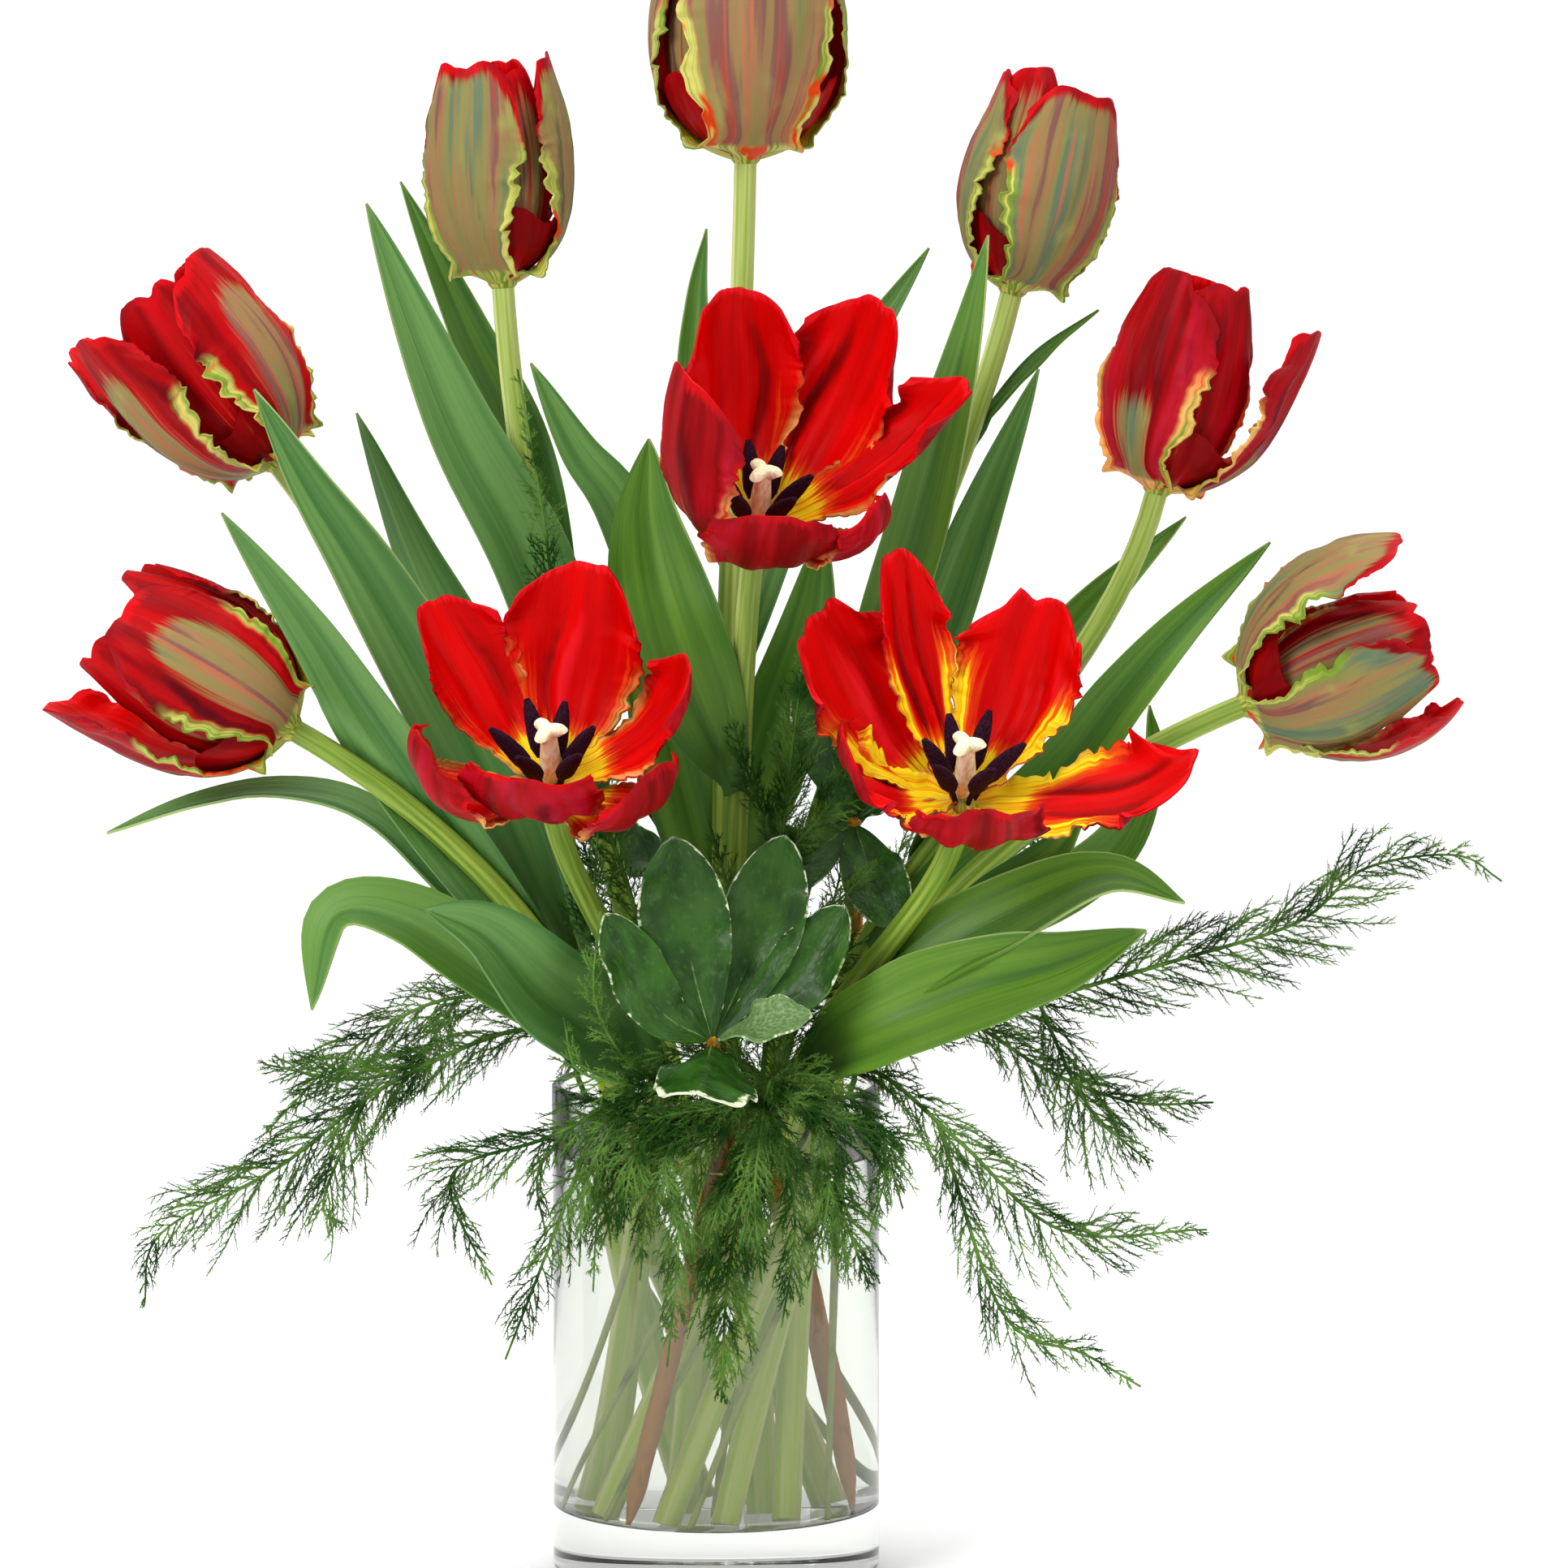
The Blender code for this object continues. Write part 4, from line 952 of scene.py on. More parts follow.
        def surface(u: Array, v: Array) -> Array:
            """The petal's middle layer."""
            edge = np.abs(v)
            short = style.dome * edge ** 2.4 + style.notch * curves.notch(v)
            radius, height, lean = self.middle_line(u - short * smooth_step(u, self.widest, 1.0))
            smooth = self.outline(u, style)
            tear = style.tear + style.low_tear * (1 - smooth_step(u, 0.5, 0.75))
            torn = 1 + curves.beside(curves.tears, u, v) * tear * edge ** 4 * smooth_step(u, 0.0, 0.1)
            cup = np.maximum(radius - inset, smooth / self.cup_half_angle)
            cup = cup * (1 + self.cup_flare * np.sin(np.maximum(lean, 0)) * u)
            width = smooth * torn
            angle = v * width / cup
            inward = UP[None] * np.sin(lean)[:, None] - out[None] * np.cos(lean)[:, None]
            depth = inset + (cup * (1 - np.cos(angle)) + self.ripple(u, v, style, inner, curves))
            place = out[None] * radius[:, None] + UP[None] * height[:, None] + inward * depth[:, None]
            return place + side[None] * (cup * np.sin(angle))[:, None]

        piece, u, v = sheet(name, style.columns, style.rows, surface)
        masks = self.masks(u, v, style, inner, curves)
        write_values(piece, **masks, dusk=style.dusk, seed=float(seed % 97) * 3.7)
        dressed(piece, PETAL_OUTER, PETAL_INNER)
        thicken(piece, self.thickness, 1)
        return piece


class Leaf:
    """A leaf along a smooth middle line, folded up along its midrib and waved along its edges."""

    points: list[Point]
    half_width: float
    facing: Point
    fold: float
    cream: float = 0.0

    finish: ClassVar[Finish]
    thickness: ClassVar[float]
    rows: ClassVar[int]
    columns: ClassVar[int]
    wave: ClassVar[float]
    root_width: ClassVar[float]
    skew: ClassVar[float]
    blunt: ClassVar[float]

    def width(self, u: Array) -> Array:
        """Half its width at u; a higher skew moves its widest place to the tip."""
        share = np.sin(math.pi * np.clip(u, 0, 1) ** self.skew) ** self.blunt
        return np.maximum(self.half_width * np.maximum(self.root_width * (1 - u), share), 0.25)

    def blade(self, start: Array, seed: int, sun: float, stem: Optional[Array] = None) -> Piece:
        """The leaf from the place where it begins.

        Args:
            start: That place.
            seed: Seeds its waves.
            sun: How yellow-green it is, from 0 to 1.
            stem: The middle of the stem that its root clasps.

        Returns:
            The object.
        """
        draw = np.random.default_rng(seed)
        middle = smooth_path([start, *self.points], self.rows + 1)
        along = units(np.gradient(middle, axis=0))
        facing = np.array(self.facing, float)
        up = units(facing[None] - (along @ facing)[:, None] * along)
        across = np.cross(along, up)
        fold = math.radians(self.fold)
        every = np.linspace(0, 1, self.rows + 1)
        waves = [wobble(every, 7, draw) for _ in range(2)]
        twist = 0.12 * wobble(every, 3, draw)

        def surface(u: Array, v: Array) -> Array:
            """The leaf's middle layer."""
            row = np.rint(u * self.rows).astype(int)
            edge, width = np.abs(v), self.width(u)
            lift = v * v / (edge + 0.12) * math.sin(fold) * 1.1
            lift = lift + self.wave * edge ** 2 * np.where(v > 0, waves[1][row], waves[0][row])
            lift = lift + v * twist[row]
            spread = across[row] * (v * width * math.cos(fold))[:, None]
            points = middle[row] + spread + up[row] * (lift * width)[:, None]
            return points if stem is None else clasp(points, stem, facing, STEM_CLEARANCE)

        piece, u, v = sheet("leaf", self.columns, self.rows, surface)
        edge = np.abs(v)
        margin = np.maximum(edge ** 3, smooth_step(u, 0.9, 1.0))
        margin = margin * (0.86 + 0.14 * smooth_step(u, 0.3, 0.9)) + self.cream * smooth_step(u, 0.3, 0.9)
        write_values(piece, edge=margin, rib=(1 - smooth_step(edge, 0.03, 0.12)) * (1 - u), sun=sun,
                     shade=1 - smooth_step(u, 0.0, 0.45), seed=float(seed) * 1.9)
        dressed(piece, self.finish)
        thicken(piece, self.thickness)
        return piece


@dataclass
class TulipLeaf(Leaf):
    """A tulip's leaf: where it leaves the stem, the points its middle follows, its width, facing and fold."""

    height: float
    points: list[Point]
    half_width: float
    facing: Point
    fold: float

    finish: ClassVar[Finish] = TULIP_LEAF
    thickness: ClassVar[float] = 0.8
    rows: ClassVar[int] = 40
    columns: ClassVar[int] = 14
    wave: ClassVar[float] = 0.07
    root_width: ClassVar[float] = 0.25
    skew: ClassVar[float] = 0.85
    blunt: ClassVar[float] = 0.8

    def build(self, stem: Array, seed: int, sun: float) -> Piece:
        """The leaf from its place on the stem, which it clasps."""
        return self.blade(between(self.height, stem[:, 2], stem), seed, sun, smooth_path(stem, 400))


def clasp(points: Array, stem: Array, facing: Array, radius: float) -> Array:
    """Drape a leaf round its stem: points that would lie in the stem move to its near or far side.

    Args:
        points: The leaf's points.
        stem: The stem's middle.
        facing: The side that the leaf faces.
        radius: How far from the stem's middle the leaf lies.

    Returns:
        The moved points.
    """
    along = unit(stem[-1] - stem[0])
    front = unit(facing - facing.dot(along) * along)
    nearest = np.linalg.norm(points[:, None] - stem[None], axis=2).argmin(axis=1)
    offset = points - stem[nearest]
    distance = np.linalg.norm(offset, axis=1)
    toward = offset @ front
    beside = offset - toward[:, None] * front
    beside = np.linalg.norm(beside - (beside @ along)[:, None] * along, axis=1)
    close = (beside < radius) & (distance < 4 * radius)
    side = 1.0 if close.any() and toward[close].mean() > 0 else -1.0
    round_stem = np.sqrt(np.maximum(radius ** 2 - beside ** 2, 0)) - np.maximum(beside - radius, 0)
    moved = np.maximum(toward * side, round_stem) * side
    return points + np.where(distance < 3 * radius, moved - toward, 0.0)[:, None] * front


@dataclass
class Tulip:
    """One tulip: its stem with its leaves, its bloom and, where it is open, its stamens and pistil."""

    name: str
    neck: Spot
    base: Point
    axis: Point
    petals: list[Petal]
    leaves: list[TulipLeaf]
    style: BloomStyle = BUD

    stalk_radii: ClassVar[tuple[float, ...]] = (3.9, 3.8, 3.7, 3.6, 3.4)
    anther_radii: ClassVar[tuple[float, ...]] = (1.3, 2.3, 2.4, 2.2, 2.0, 1.5, 0.7)
    ovary_radii: ClassVar[tuple[float, ...]] = (1.9, 2.9, 3.2, 3.0, 2.7, 2.4, 2.2)
    stigma_radii: ClassVar[tuple[float, ...]] = (2.0, 3.0, 4.2, 4.4, 2.6)
    open_stamen: ClassVar[tuple[Spot, ...]] = ((2.9, 4.0), (5.8, 12.0), (10.0, 20.0), (14.5, 27.0))
    closed_stamen: ClassVar[tuple[Spot, ...]] = ((2.6, 4.0), (4.0, 12.0), (5.0, 20.0), (5.4, 26.0))
    open_pistil: ClassVar[float] = 20.0
    closed_pistil: ClassVar[float] = 16.0
    pistil_foot: ClassVar[float] = 5.3

    seed: int = field(init=False)
    turn: Array = field(init=False)

    def __post_init__(self) -> None:
        """Work out the bloom's own directions, and its seed from its name."""
        axis = unit(self.axis)
        front = unit(np.array((0.0, -1.0, 0.0)) + axis[1] * axis)
        self.turn = np.column_stack([np.cross(axis, front), -front, axis])
        self.seed = sum(map(ord, self.name))

    def is_open(self) -> bool:
        """Whether the bloom is wide open."""
        return self.name.startswith("open")

    def place(self, piece: Piece) -> Piece:
        """Move a piece from the bloom's own frame to its place."""
        write_points(piece, read_points(piece) / MM @ self.turn.T + np.array(self.base))
        return piece

    def stem_line(self) -> Array:
        """The stem's middle: straight through the water, then one smooth bend into the bloom."""
        points, high, rise = below_rim(self.neck, 4)
        axis = unit(self.axis)
        end = np.array(self.base) + axis * 0.8
        reach = np.linalg.norm(end - high)
        leave, arrive = rise * reach, axis * reach
        for t in np.linspace(0, 1, 25):
            points.append((2 * t ** 3 - 3 * t ** 2 + 1) * high + (t ** 3 - 2 * t ** 2 + t) * leave
                          + (3 * t ** 2 - 2 * t ** 3) * end + (t ** 3 - t ** 2) * arrive)
        return np.array(points)

    def build_stem(self) -> None:
        """The flower stalk and the leaves on it."""
        path = self.stem_line()
        stalk = dressed(tube("stalk", path, self.stalk_radii, 20), TULIP_STALK)
        write_values(stalk, edge=0.0, sun=0.6, seed=0.0)
        parts = [stalk]
        for i, leaf in enumerate(self.leaves):
            sun = 0.5 + leaf.points[-1][0] / 450 + 0.25 * math.sin(5 * i + self.seed)
            parts.append(leaf.build(path, self.seed + i, float(np.clip(sun, 0, 1))))
        settle(join(f"tulip_stem_{self.name}", parts), f"stem_{self.name}")

    def stamens(self) -> list[Piece]:
        """Six short filaments, each with a long grooved anther."""
        parts = []
        route = self.open_stamen if self.is_open() else self.closed_stamen
        for k in range(6):
            turn = math.radians(30 + 60 * k + 7 * math.sin(3 * k + self.seed))
            spread = 1 + 0.18 * math.sin(5 * k + self.seed)
            out = np.array((math.sin(turn), -math.cos(turn), 0.0)) * spread
            line = smooth_path([out * radius + UP * height for radius, height in route], 18)
            parts.append(dressed(tube("filament", line[:8], (0.9, 0.8), 8), ANTHER))
            parts.append(dressed(tube("anther", line[5:], self.anther_radii, 14, 2, 0.2), ANTHER))
        return parts

    def bowl(self) -> Piece:
        """The wall low in a closed bloom, where its two rings of petals overlap all the way round."""

        def surface(u: Array, v: Array) -> Array:
            """The wall's middle layer, pleated and wavy at its edge, just inside the three outer petals."""
            turn = math.pi * v
            inset = 1.5 + 0.45 * u * np.sin(11 * turn) + 0.25 * u * np.sin(27 * turn + 3 * u)
            reach = u * (0.36 + 0.04 * np.sin(5 * turn))
            lines, shares = [], []
            for petal in self.petals[:3]:
                radius, height, lean = petal.middle_line(reach)
                lines.append((radius - inset * np.cos(lean), height + inset * np.sin(lean)))
                shares.append(np.clip(np.cos(turn - math.radians(petal.azimuth)), 0.05, 1) ** 2)
            ring, level = [sum(s * line[k] for s, line in zip(shares, lines)) / sum(shares) for k in (0, 1)]
            return np.column_stack([ring * np.sin(turn), -ring * np.cos(turn), level])

        wall, _, _ = sheet("bowl", 144, 12, surface)
        close_up()
        # A fold value of -0.2 paints the wall darker, as painted shade.
        write_values(wall, feather=0.2, lime=0.0, gold=0.3, blush=0.0, dusk=0.3, crease=-0.2, seed=0.0)
        dressed(wall, PETAL_OUTER, PETAL_INNER)
        thicken(wall, Petal.thickness, 1)
        return wall

    def build_bloom(self) -> None:
        """The petals round their receptacle, the stamens, and the pistil that a closed bloom hides."""
        seat = tube("receptacle", upright(0, 1, 2.5, 4, 5), (3.5, 4.6, 4.9, 4.4, 3.4), 20)
        write_values(seat, feather=0.0, lime=1.0, gold=1.0, blush=0.0, dusk=0.0, crease=0.0, seed=0.0)
        parts = [dressed(seat, PETAL_OUTER)]
        for i, petal in enumerate(self.petals):
            parts.append(petal.sheet(f"petal_{i}", self.style, i > 2, self.seed + 7 * i))
        parts += self.stamens()
        if not self.is_open():
            parts += [self.bowl(), *self.pistil(self.closed_pistil)]
        bloom = self.place(join(f"tulip_bloom_{self.name}", parts))
        settle(bloom, f"bloom_{self.name}")

    def pistil(self, length: float) -> list[Piece]:
        """The ovary with its three-lobed stigma, in the bloom's own frame."""
        top = self.pistil_foot + length
        line = upright(*np.linspace(self.pistil_foot, top, 9))
        ovary = tube("ovary", line, self.ovary_radii, 24, 3, 0.14)
        line = upright(top - 2.8, top - 1.6, top - 0.4, top + 0.8, top + 1.4)
        stigma = tube("stigma", line, self.stigma_radii, 36, 3, 0.42)
        return [dressed(ovary, PISTIL), dressed(stigma, STIGMA)]

    def build_pistil(self) -> None:
        """The pistil of an open bloom, a piece of its own."""
        pistil = self.place(join(f"tulip_pistil_{self.name}", self.pistil(self.open_pistil)))
        settle(pistil, f"pistil_{self.name}")

    def build(self) -> None:
        """Make every piece of the tulip."""
        self.build_stem()
        self.build_bloom()
        if self.is_open():
            self.build_pistil()


TULIPS = [
    Tulip("top", (4, 12), (9, 20, 428), (0.02, 0.0, 1.0),
          [Petal(8, 95, 27, 80, 3, -14), Petal(128, 95, 27, 80, 3, -14), Petal(248, 95, 27, 80, 3, -14),
           Petal(68, 91, 25, 76, 2, -14), Petal(188, 91, 25, 76, 2, -14), Petal(308, 91, 25, 76, 2, -14)],
          [TulipLeaf(300, [(-6, 32, 350), (-6, 33, 385), (-3, 32, 408)], 6, (0, -1, 0.2), 20),
           TulipLeaf(262, [(20, 34, 320), (42, 36, 366), (65, 37, 402)], 8, (0, -1, 0.2), 20),
           TulipLeaf(245, [(-26, 12, 318), (-42, 11, 342), (-56, 12, 368)], 10, (0.2, -1, 0.2), 15),
           TulipLeaf(200, [(16, 24, 246), (27, 26, 282), (33, 28, 318)], 13, (0, -1, 0.2), 18),
           TulipLeaf(190, [(-8, 24, 232), (-18, 28, 268), (-24, 30, 304)], 13, (0, -1, 0.2), 18)]),
    Tulip("upper_left", (-14, 22), (-65, 30, 390), (-0.06, 0.0, 1.0),
          [Petal(-28, 76, 20, 68, 3, -10), Petal(92, 78, 20, 68, 4, -12), Petal(212, 76, 20, 68, 3, -10),
           Petal(32, 73, 18, 62, 2, -10), Petal(152, 75, 18, 62, 2, -12), Petal(272, 73, 18, 62, 2, -10)],
          [TulipLeaf(222, [(-54, 24, 300), (-80, 22, 352), (-106, 20, 416)], 13, (0.2, -1, 0.1), 18),
           TulipLeaf(255, [(-58, 42, 335), (-77, 46, 378), (-97, 47, 422)], 9, (0.2, -1, 0.1), 15)]),
    Tulip("upper_right", (18, 22), (90, 30, 388), (0.24, 0.0, 1.0),
          [Petal(24, 74, 22, 78, 5, -6), Petal(144, 74, 22, 78, 4, -12), Petal(-92, 74, 20, 74, 3, -8),
           Petal(84, 70, 20, 72, 3, -6), Petal(204, 72, 20, 72, 2, -12), Petal(-36, 76, 17, 68, 4, 0)],
          [TulipLeaf(232, [(56, 12, 300), (68, 5, 345), (76, 1, 378), (82, -1, 407)], 10,
                     (-0.2, -1, 0.1), 15),
           TulipLeaf(204, [(60, 20, 270), (80, 15, 322), (98, 14, 366)], 10, (0.2, -1, 0.1), 18),
           TulipLeaf(342, [(99, 34, 368), (117, 37, 383)], 3.6, (-0.3, -0.5, 1), 22)]),
    Tulip("mid_left", (-30, 6), (-132, 8, 337), (-0.6, 0.0, 0.8),
          [Petal(55, 76, 23, 80, 8, -6), Petal(175, 74, 22, 80, 6, -10), Petal(-62, 76, 23, 80, 12, 2),
           Petal(0, 74, 20, 74, 6, -4), Petal(115, 74, 20, 74, 3, -10), Petal(-122, 78, 20, 74, 22, 10)],
          [TulipLeaf(185, [(-80, -12, 262), (-104, -19, 306), (-121, -23, 333), (-137, -28, 362)], 13,
                     (0, -1, 0.3), 20),
           TulipLeaf(175, [(-62, 46, 240), (-92, 62, 300), (-112, 66, 350)], 12, (0.3, 1, 0.2), 20)],
          RED_BUD),
    Tulip("mid_right", (30, 8), (133, 0, 329), (0.24, 0.0, 0.97),
          [Petal(-38, 76, 22, 78, 4, -12), Petal(82, 74, 21, 78, 22, 8), Petal(202, 75, 22, 78, 4, -10),
           Petal(24, 76, 20, 72, 2, -16), Petal(142, 72, 20, 72, 3, -10), Petal(262, 76, 20, 72, 2, -12)],
          [TulipLeaf(205, [(92, 16, 262), (114, 17, 292), (143, 17, 321)], 9, (-0.2, -1, 0.3), 18),
           TulipLeaf(190, [(100, 0, 240), (122, -4, 268), (141, -7, 290), (167, -8, 315)], 10,
                     (0.2, -1, 0.3), 18)], DARK_BUD),
    Tulip("low_left", (-32, -10), (-125, -30, 260), (-0.88, 0.0, 0.5),
          [Petal(20, 74, 22, 80, 8, -16), Petal(132, 74, 22, 80, 10, -10), Petal(-96, 80, 24, 80, 14, 2),
           Petal(75, 78, 19, 74, 8, -20), Petal(192, 72, 20, 74, 4, -10), Petal(-42, 74, 20, 74, 4, -10)],
          [TulipLeaf(172, [(-86, -28, 236), (-106, -32, 266), (-122, -36, 292), (-146, -40, 326)], 11,
                     (0, -1, 0.3), 18),
           TulipLeaf(165, [(-82, -16, 212), (-106, -18, 234), (-131, -18, 240), (-156, -18, 237),
                           (-183, -18, 228)], 9, (0.2, -0.5, 1), 20)], RED_BUD),
    Tulip("low_right", (34, -8), (158, -15, 266), (0.93, 0.0, 0.38),
          [Petal(36, 66, 20, 78, 6, -16), Petal(156, 68, 20, 78, 6, -12), Petal(-78, 78, 22, 80, 22, -24),
           Petal(92, 78, 17, 74, 20, -34), Petal(212, 68, 19, 74, 6, -12), Petal(-22, 68, 18, 72, 4, -14)],
          [TulipLeaf(185, [(114, 8, 214), (132, 9, 244), (132, 11, 264)], 9, (0.2, -1, 0.2), 15),
           TulipLeaf(162, [(70, -27, 188), (92, -32, 212), (110, -33, 234)], 15, (-0.3, -1, 0.5), 18)]),
    Tulip("open_centre", (2, -8), (12, -28, 318), (0.1, -0.57, 0.82),
          [Petal(-54, 84, 21, 80, 14, -2), Petal(146, 80, 20, 70, 34, 16), Petal(10, 56, 21, 88, 44, -12),
           Petal(-158, 76, 20, 68, 28, 14), Petal(102, 82, 15, 70, 44, 32), Petal(62, 62, 12, 84, 56, -30)],
          [TulipLeaf(240, [(-12, -10, 286), (-20, -6, 318), (-20, -4, 346)], 17, (-0.1, -1, 0.2), 20)], OPEN),
    Tulip("open_left", (-17, -26), (-48, -60, 244), (-0.02, -0.57, 0.82),
          [Petal(-68, 60, 20, 86, 52, -30), Petal(165, 70, 22, 70, 36, 14), Petal(48, 60, 19, 88, 56, -22),
           Petal(-12, 54, 22, 88, 46, -8), Petal(-138, 66, 16, 70, 48, 36), Petal(98, 66, 16, 74, 48, -6)],
          [TulipLeaf(158, [(-60, -34, 184), (-92, -40, 205), (-114, -43, 206), (-120, -45, 178)], 13,
                     (-0.1, -0.8, 0.7), 16),
           TulipLeaf(158, [(-48, -58, 182), (-67, -65, 203), (-85, -67, 211)], 18, (0.3, -1, 0.5), 24)],
          OPEN),
    Tulip("open_right", (22, -26), (73, -60, 240), (0.04, -0.57, 0.82),
          [Petal(-122, 72, 24, 74, 46, 24), Petal(84, 72, 19, 82, 70, 36), Petal(8, 54, 20, 88, 50, -4),
           Petal(150, 68, 22, 70, 40, 18), Petal(-72, 58, 20, 84, 52, -20), Petal(-152, 78, 11, 68, 36, 28)],
          [TulipLeaf(160, [(58, -40, 188), (92, -44, 208), (118, -44, 218), (140, -44, 210)], 14,
                     (-0.1, -0.8, 0.8), 18),
           TulipLeaf(156, [(46, -50, 172), (74, -54, 184), (102, -54, 192), (128, -52, 203)], 17,
                     (0.1, -0.9, 0.6), 22)], GOLDEN),
]


# Sprigs


@dataclass
class SprigLeaf(Leaf):
    """A leaf of a sprig: the points its middle follows from the whorl, half its width and its facing."""

    points: list[Point]
    half_width: float
    facing: Point

    sun: float = 0.0
    cream: float = 0.0
    fold: float = 14.0

    finish: ClassVar[Finish] = CREAM_LEAF
    thickness: ClassVar[float] = 0.7
    rows: ClassVar[int] = 34
    columns: ClassVar[int] = 16
    wave: ClassVar[float] = 0.2
    root_width: ClassVar[float] = 0.1
    skew: ClassVar[float] = 1.3
    blunt: ClassVar[float] = 0.6


@dataclass
class Sprig:
    """A woody twig from the vase's floor, and the whorl of leaves on its end."""

    name: str
    neck: Spot
    rise: list[Point]
    leaves: list[SprigLeaf]
    foot: Optional[Spot] = None

    radius: ClassVar[float] = 2.8
    tip_radius: ClassVar[float] = 1.8
    tapering: ClassVar[int] = 9
    cut_end: ClassVar[tuple[float, ...]] = (0.25, 0.55, 0.8, 0.95)
    hub_radii: ClassVar[tuple[float, ...]] = (1.7, 2.5, 1.5)

    def build(self) -> None:
        """Make the twig and its leaves."""
        below, high, _ = below_rim(self.neck, 29, self.foot)
        rise = smooth_path([high, *self.rise], 6)
        self.build_twig(np.array([*below, *smooth_path([high, *self.rise], 14)]))
        along = unit(rise[-1] - rise[-2])
        whorl = rise[-1] + along * 0.3
        hub = [whorl + along * height for height in (0.0, 2.0, 4.0)]
        parts = [dressed(tube("hub", hub, self.hub_radii, 14), BARK)]
        for i, leaf in enumerate(self.leaves):
            bud = whorl + along * 2.2
            bud = bud + unit(leaf.points[0] - bud) * 1.2
            parts.append(leaf.blade(bud, 31 * i + len(self.name), leaf.sun))
        settle(join(f"sprig_leaves_{self.name}", parts), f"sprig_{self.name}")

    def build_twig(self, path: Array) -> None:
        """The knotty twig along this path, cut to a blunt point below and thinner above."""
        draw = np.random.default_rng(sum(map(ord, self.name)))
        radii = self.radius * (1 + 0.1 * wobble(np.linspace(0, 1, len(path)), 15, draw))
        radii[-self.tapering:] *= np.linspace(1, self.tip_radius / self.radius, self.tapering)
        radii[:len(self.cut_end)] *= self.cut_end
        twig = dressed(tube("twig", path, radii, 16), BARK)
        settle(join(f"sprig_twig_{self.name}", [twig]), f"twig_{self.name}")


SPRIGS = [
    Sprig("front", (6, -41), [(2, -50, 161), (0, -56, 168)],
          [SprigLeaf([(-7, -60, 196), (-12, -62, 232)], 14, (0, -1, 0.2)),
           SprigLeaf([(12, -52, 198), (21, -50, 231)], 13, (0, -1, 0.2)),
           SprigLeaf([(-17, -66, 182), (-32, -70, 210)], 10, (0.3, -1, 0.4)),
           SprigLeaf([(22, -56, 186), (39, -52, 210)], 11, (-0.2, -1, 0.4)),
           SprigLeaf([(12, -68, 176), (29, -72, 180)], 9, (0, -0.6, 1), sun=1.0),
           SprigLeaf([(-2, -68, 166), (-5, -79, 158)], 18, (0, -0.5, 1), fold=-30, cream=0.4)],
          foot=(-25, -35)),
    Sprig("right", (36, 22), [(42, 28, 180), (42, 22, 204), (42, 12, 226)],
          [SprigLeaf([(34, 2, 252), (28, -2, 278)], 10, (0, -1, 0.3)),
           SprigLeaf([(46, 2, 256), (50, -2, 284)], 11, (0, -1, 0.3)),
           SprigLeaf([(60, 4, 240), (74, 0, 244)], 9, (0, -0.6, 1)),
           SprigLeaf([(28, 2, 218), (15, 0, 206)], 9, (0, -1, 0.6)),
           SprigLeaf([(48, -6, 212), (56, -14, 198)], 10, (0, -1, 0.6))], foot=(42, 6)),
    Sprig("back", (2, 36), [(-2, 54, 182), (-4, 62, 204)],
          [SprigLeaf([(-12, 66, 226), (-20, 68, 250)], 11, (0, 1, 0.3)),
           SprigLeaf([(6, 66, 228), (12, 68, 252)], 11, (0, 1, 0.3)),
           SprigLeaf([(-22, 68, 210), (-42, 72, 218)], 10, (0, 1, 0.6)),
           SprigLeaf([(14, 68, 210), (34, 72, 216)], 10, (0, 1, 0.6)),
           SprigLeaf([(-6, 76, 196), (-8, 88, 184)], 10, (0, 1, 0.6))]),
]


# Fern


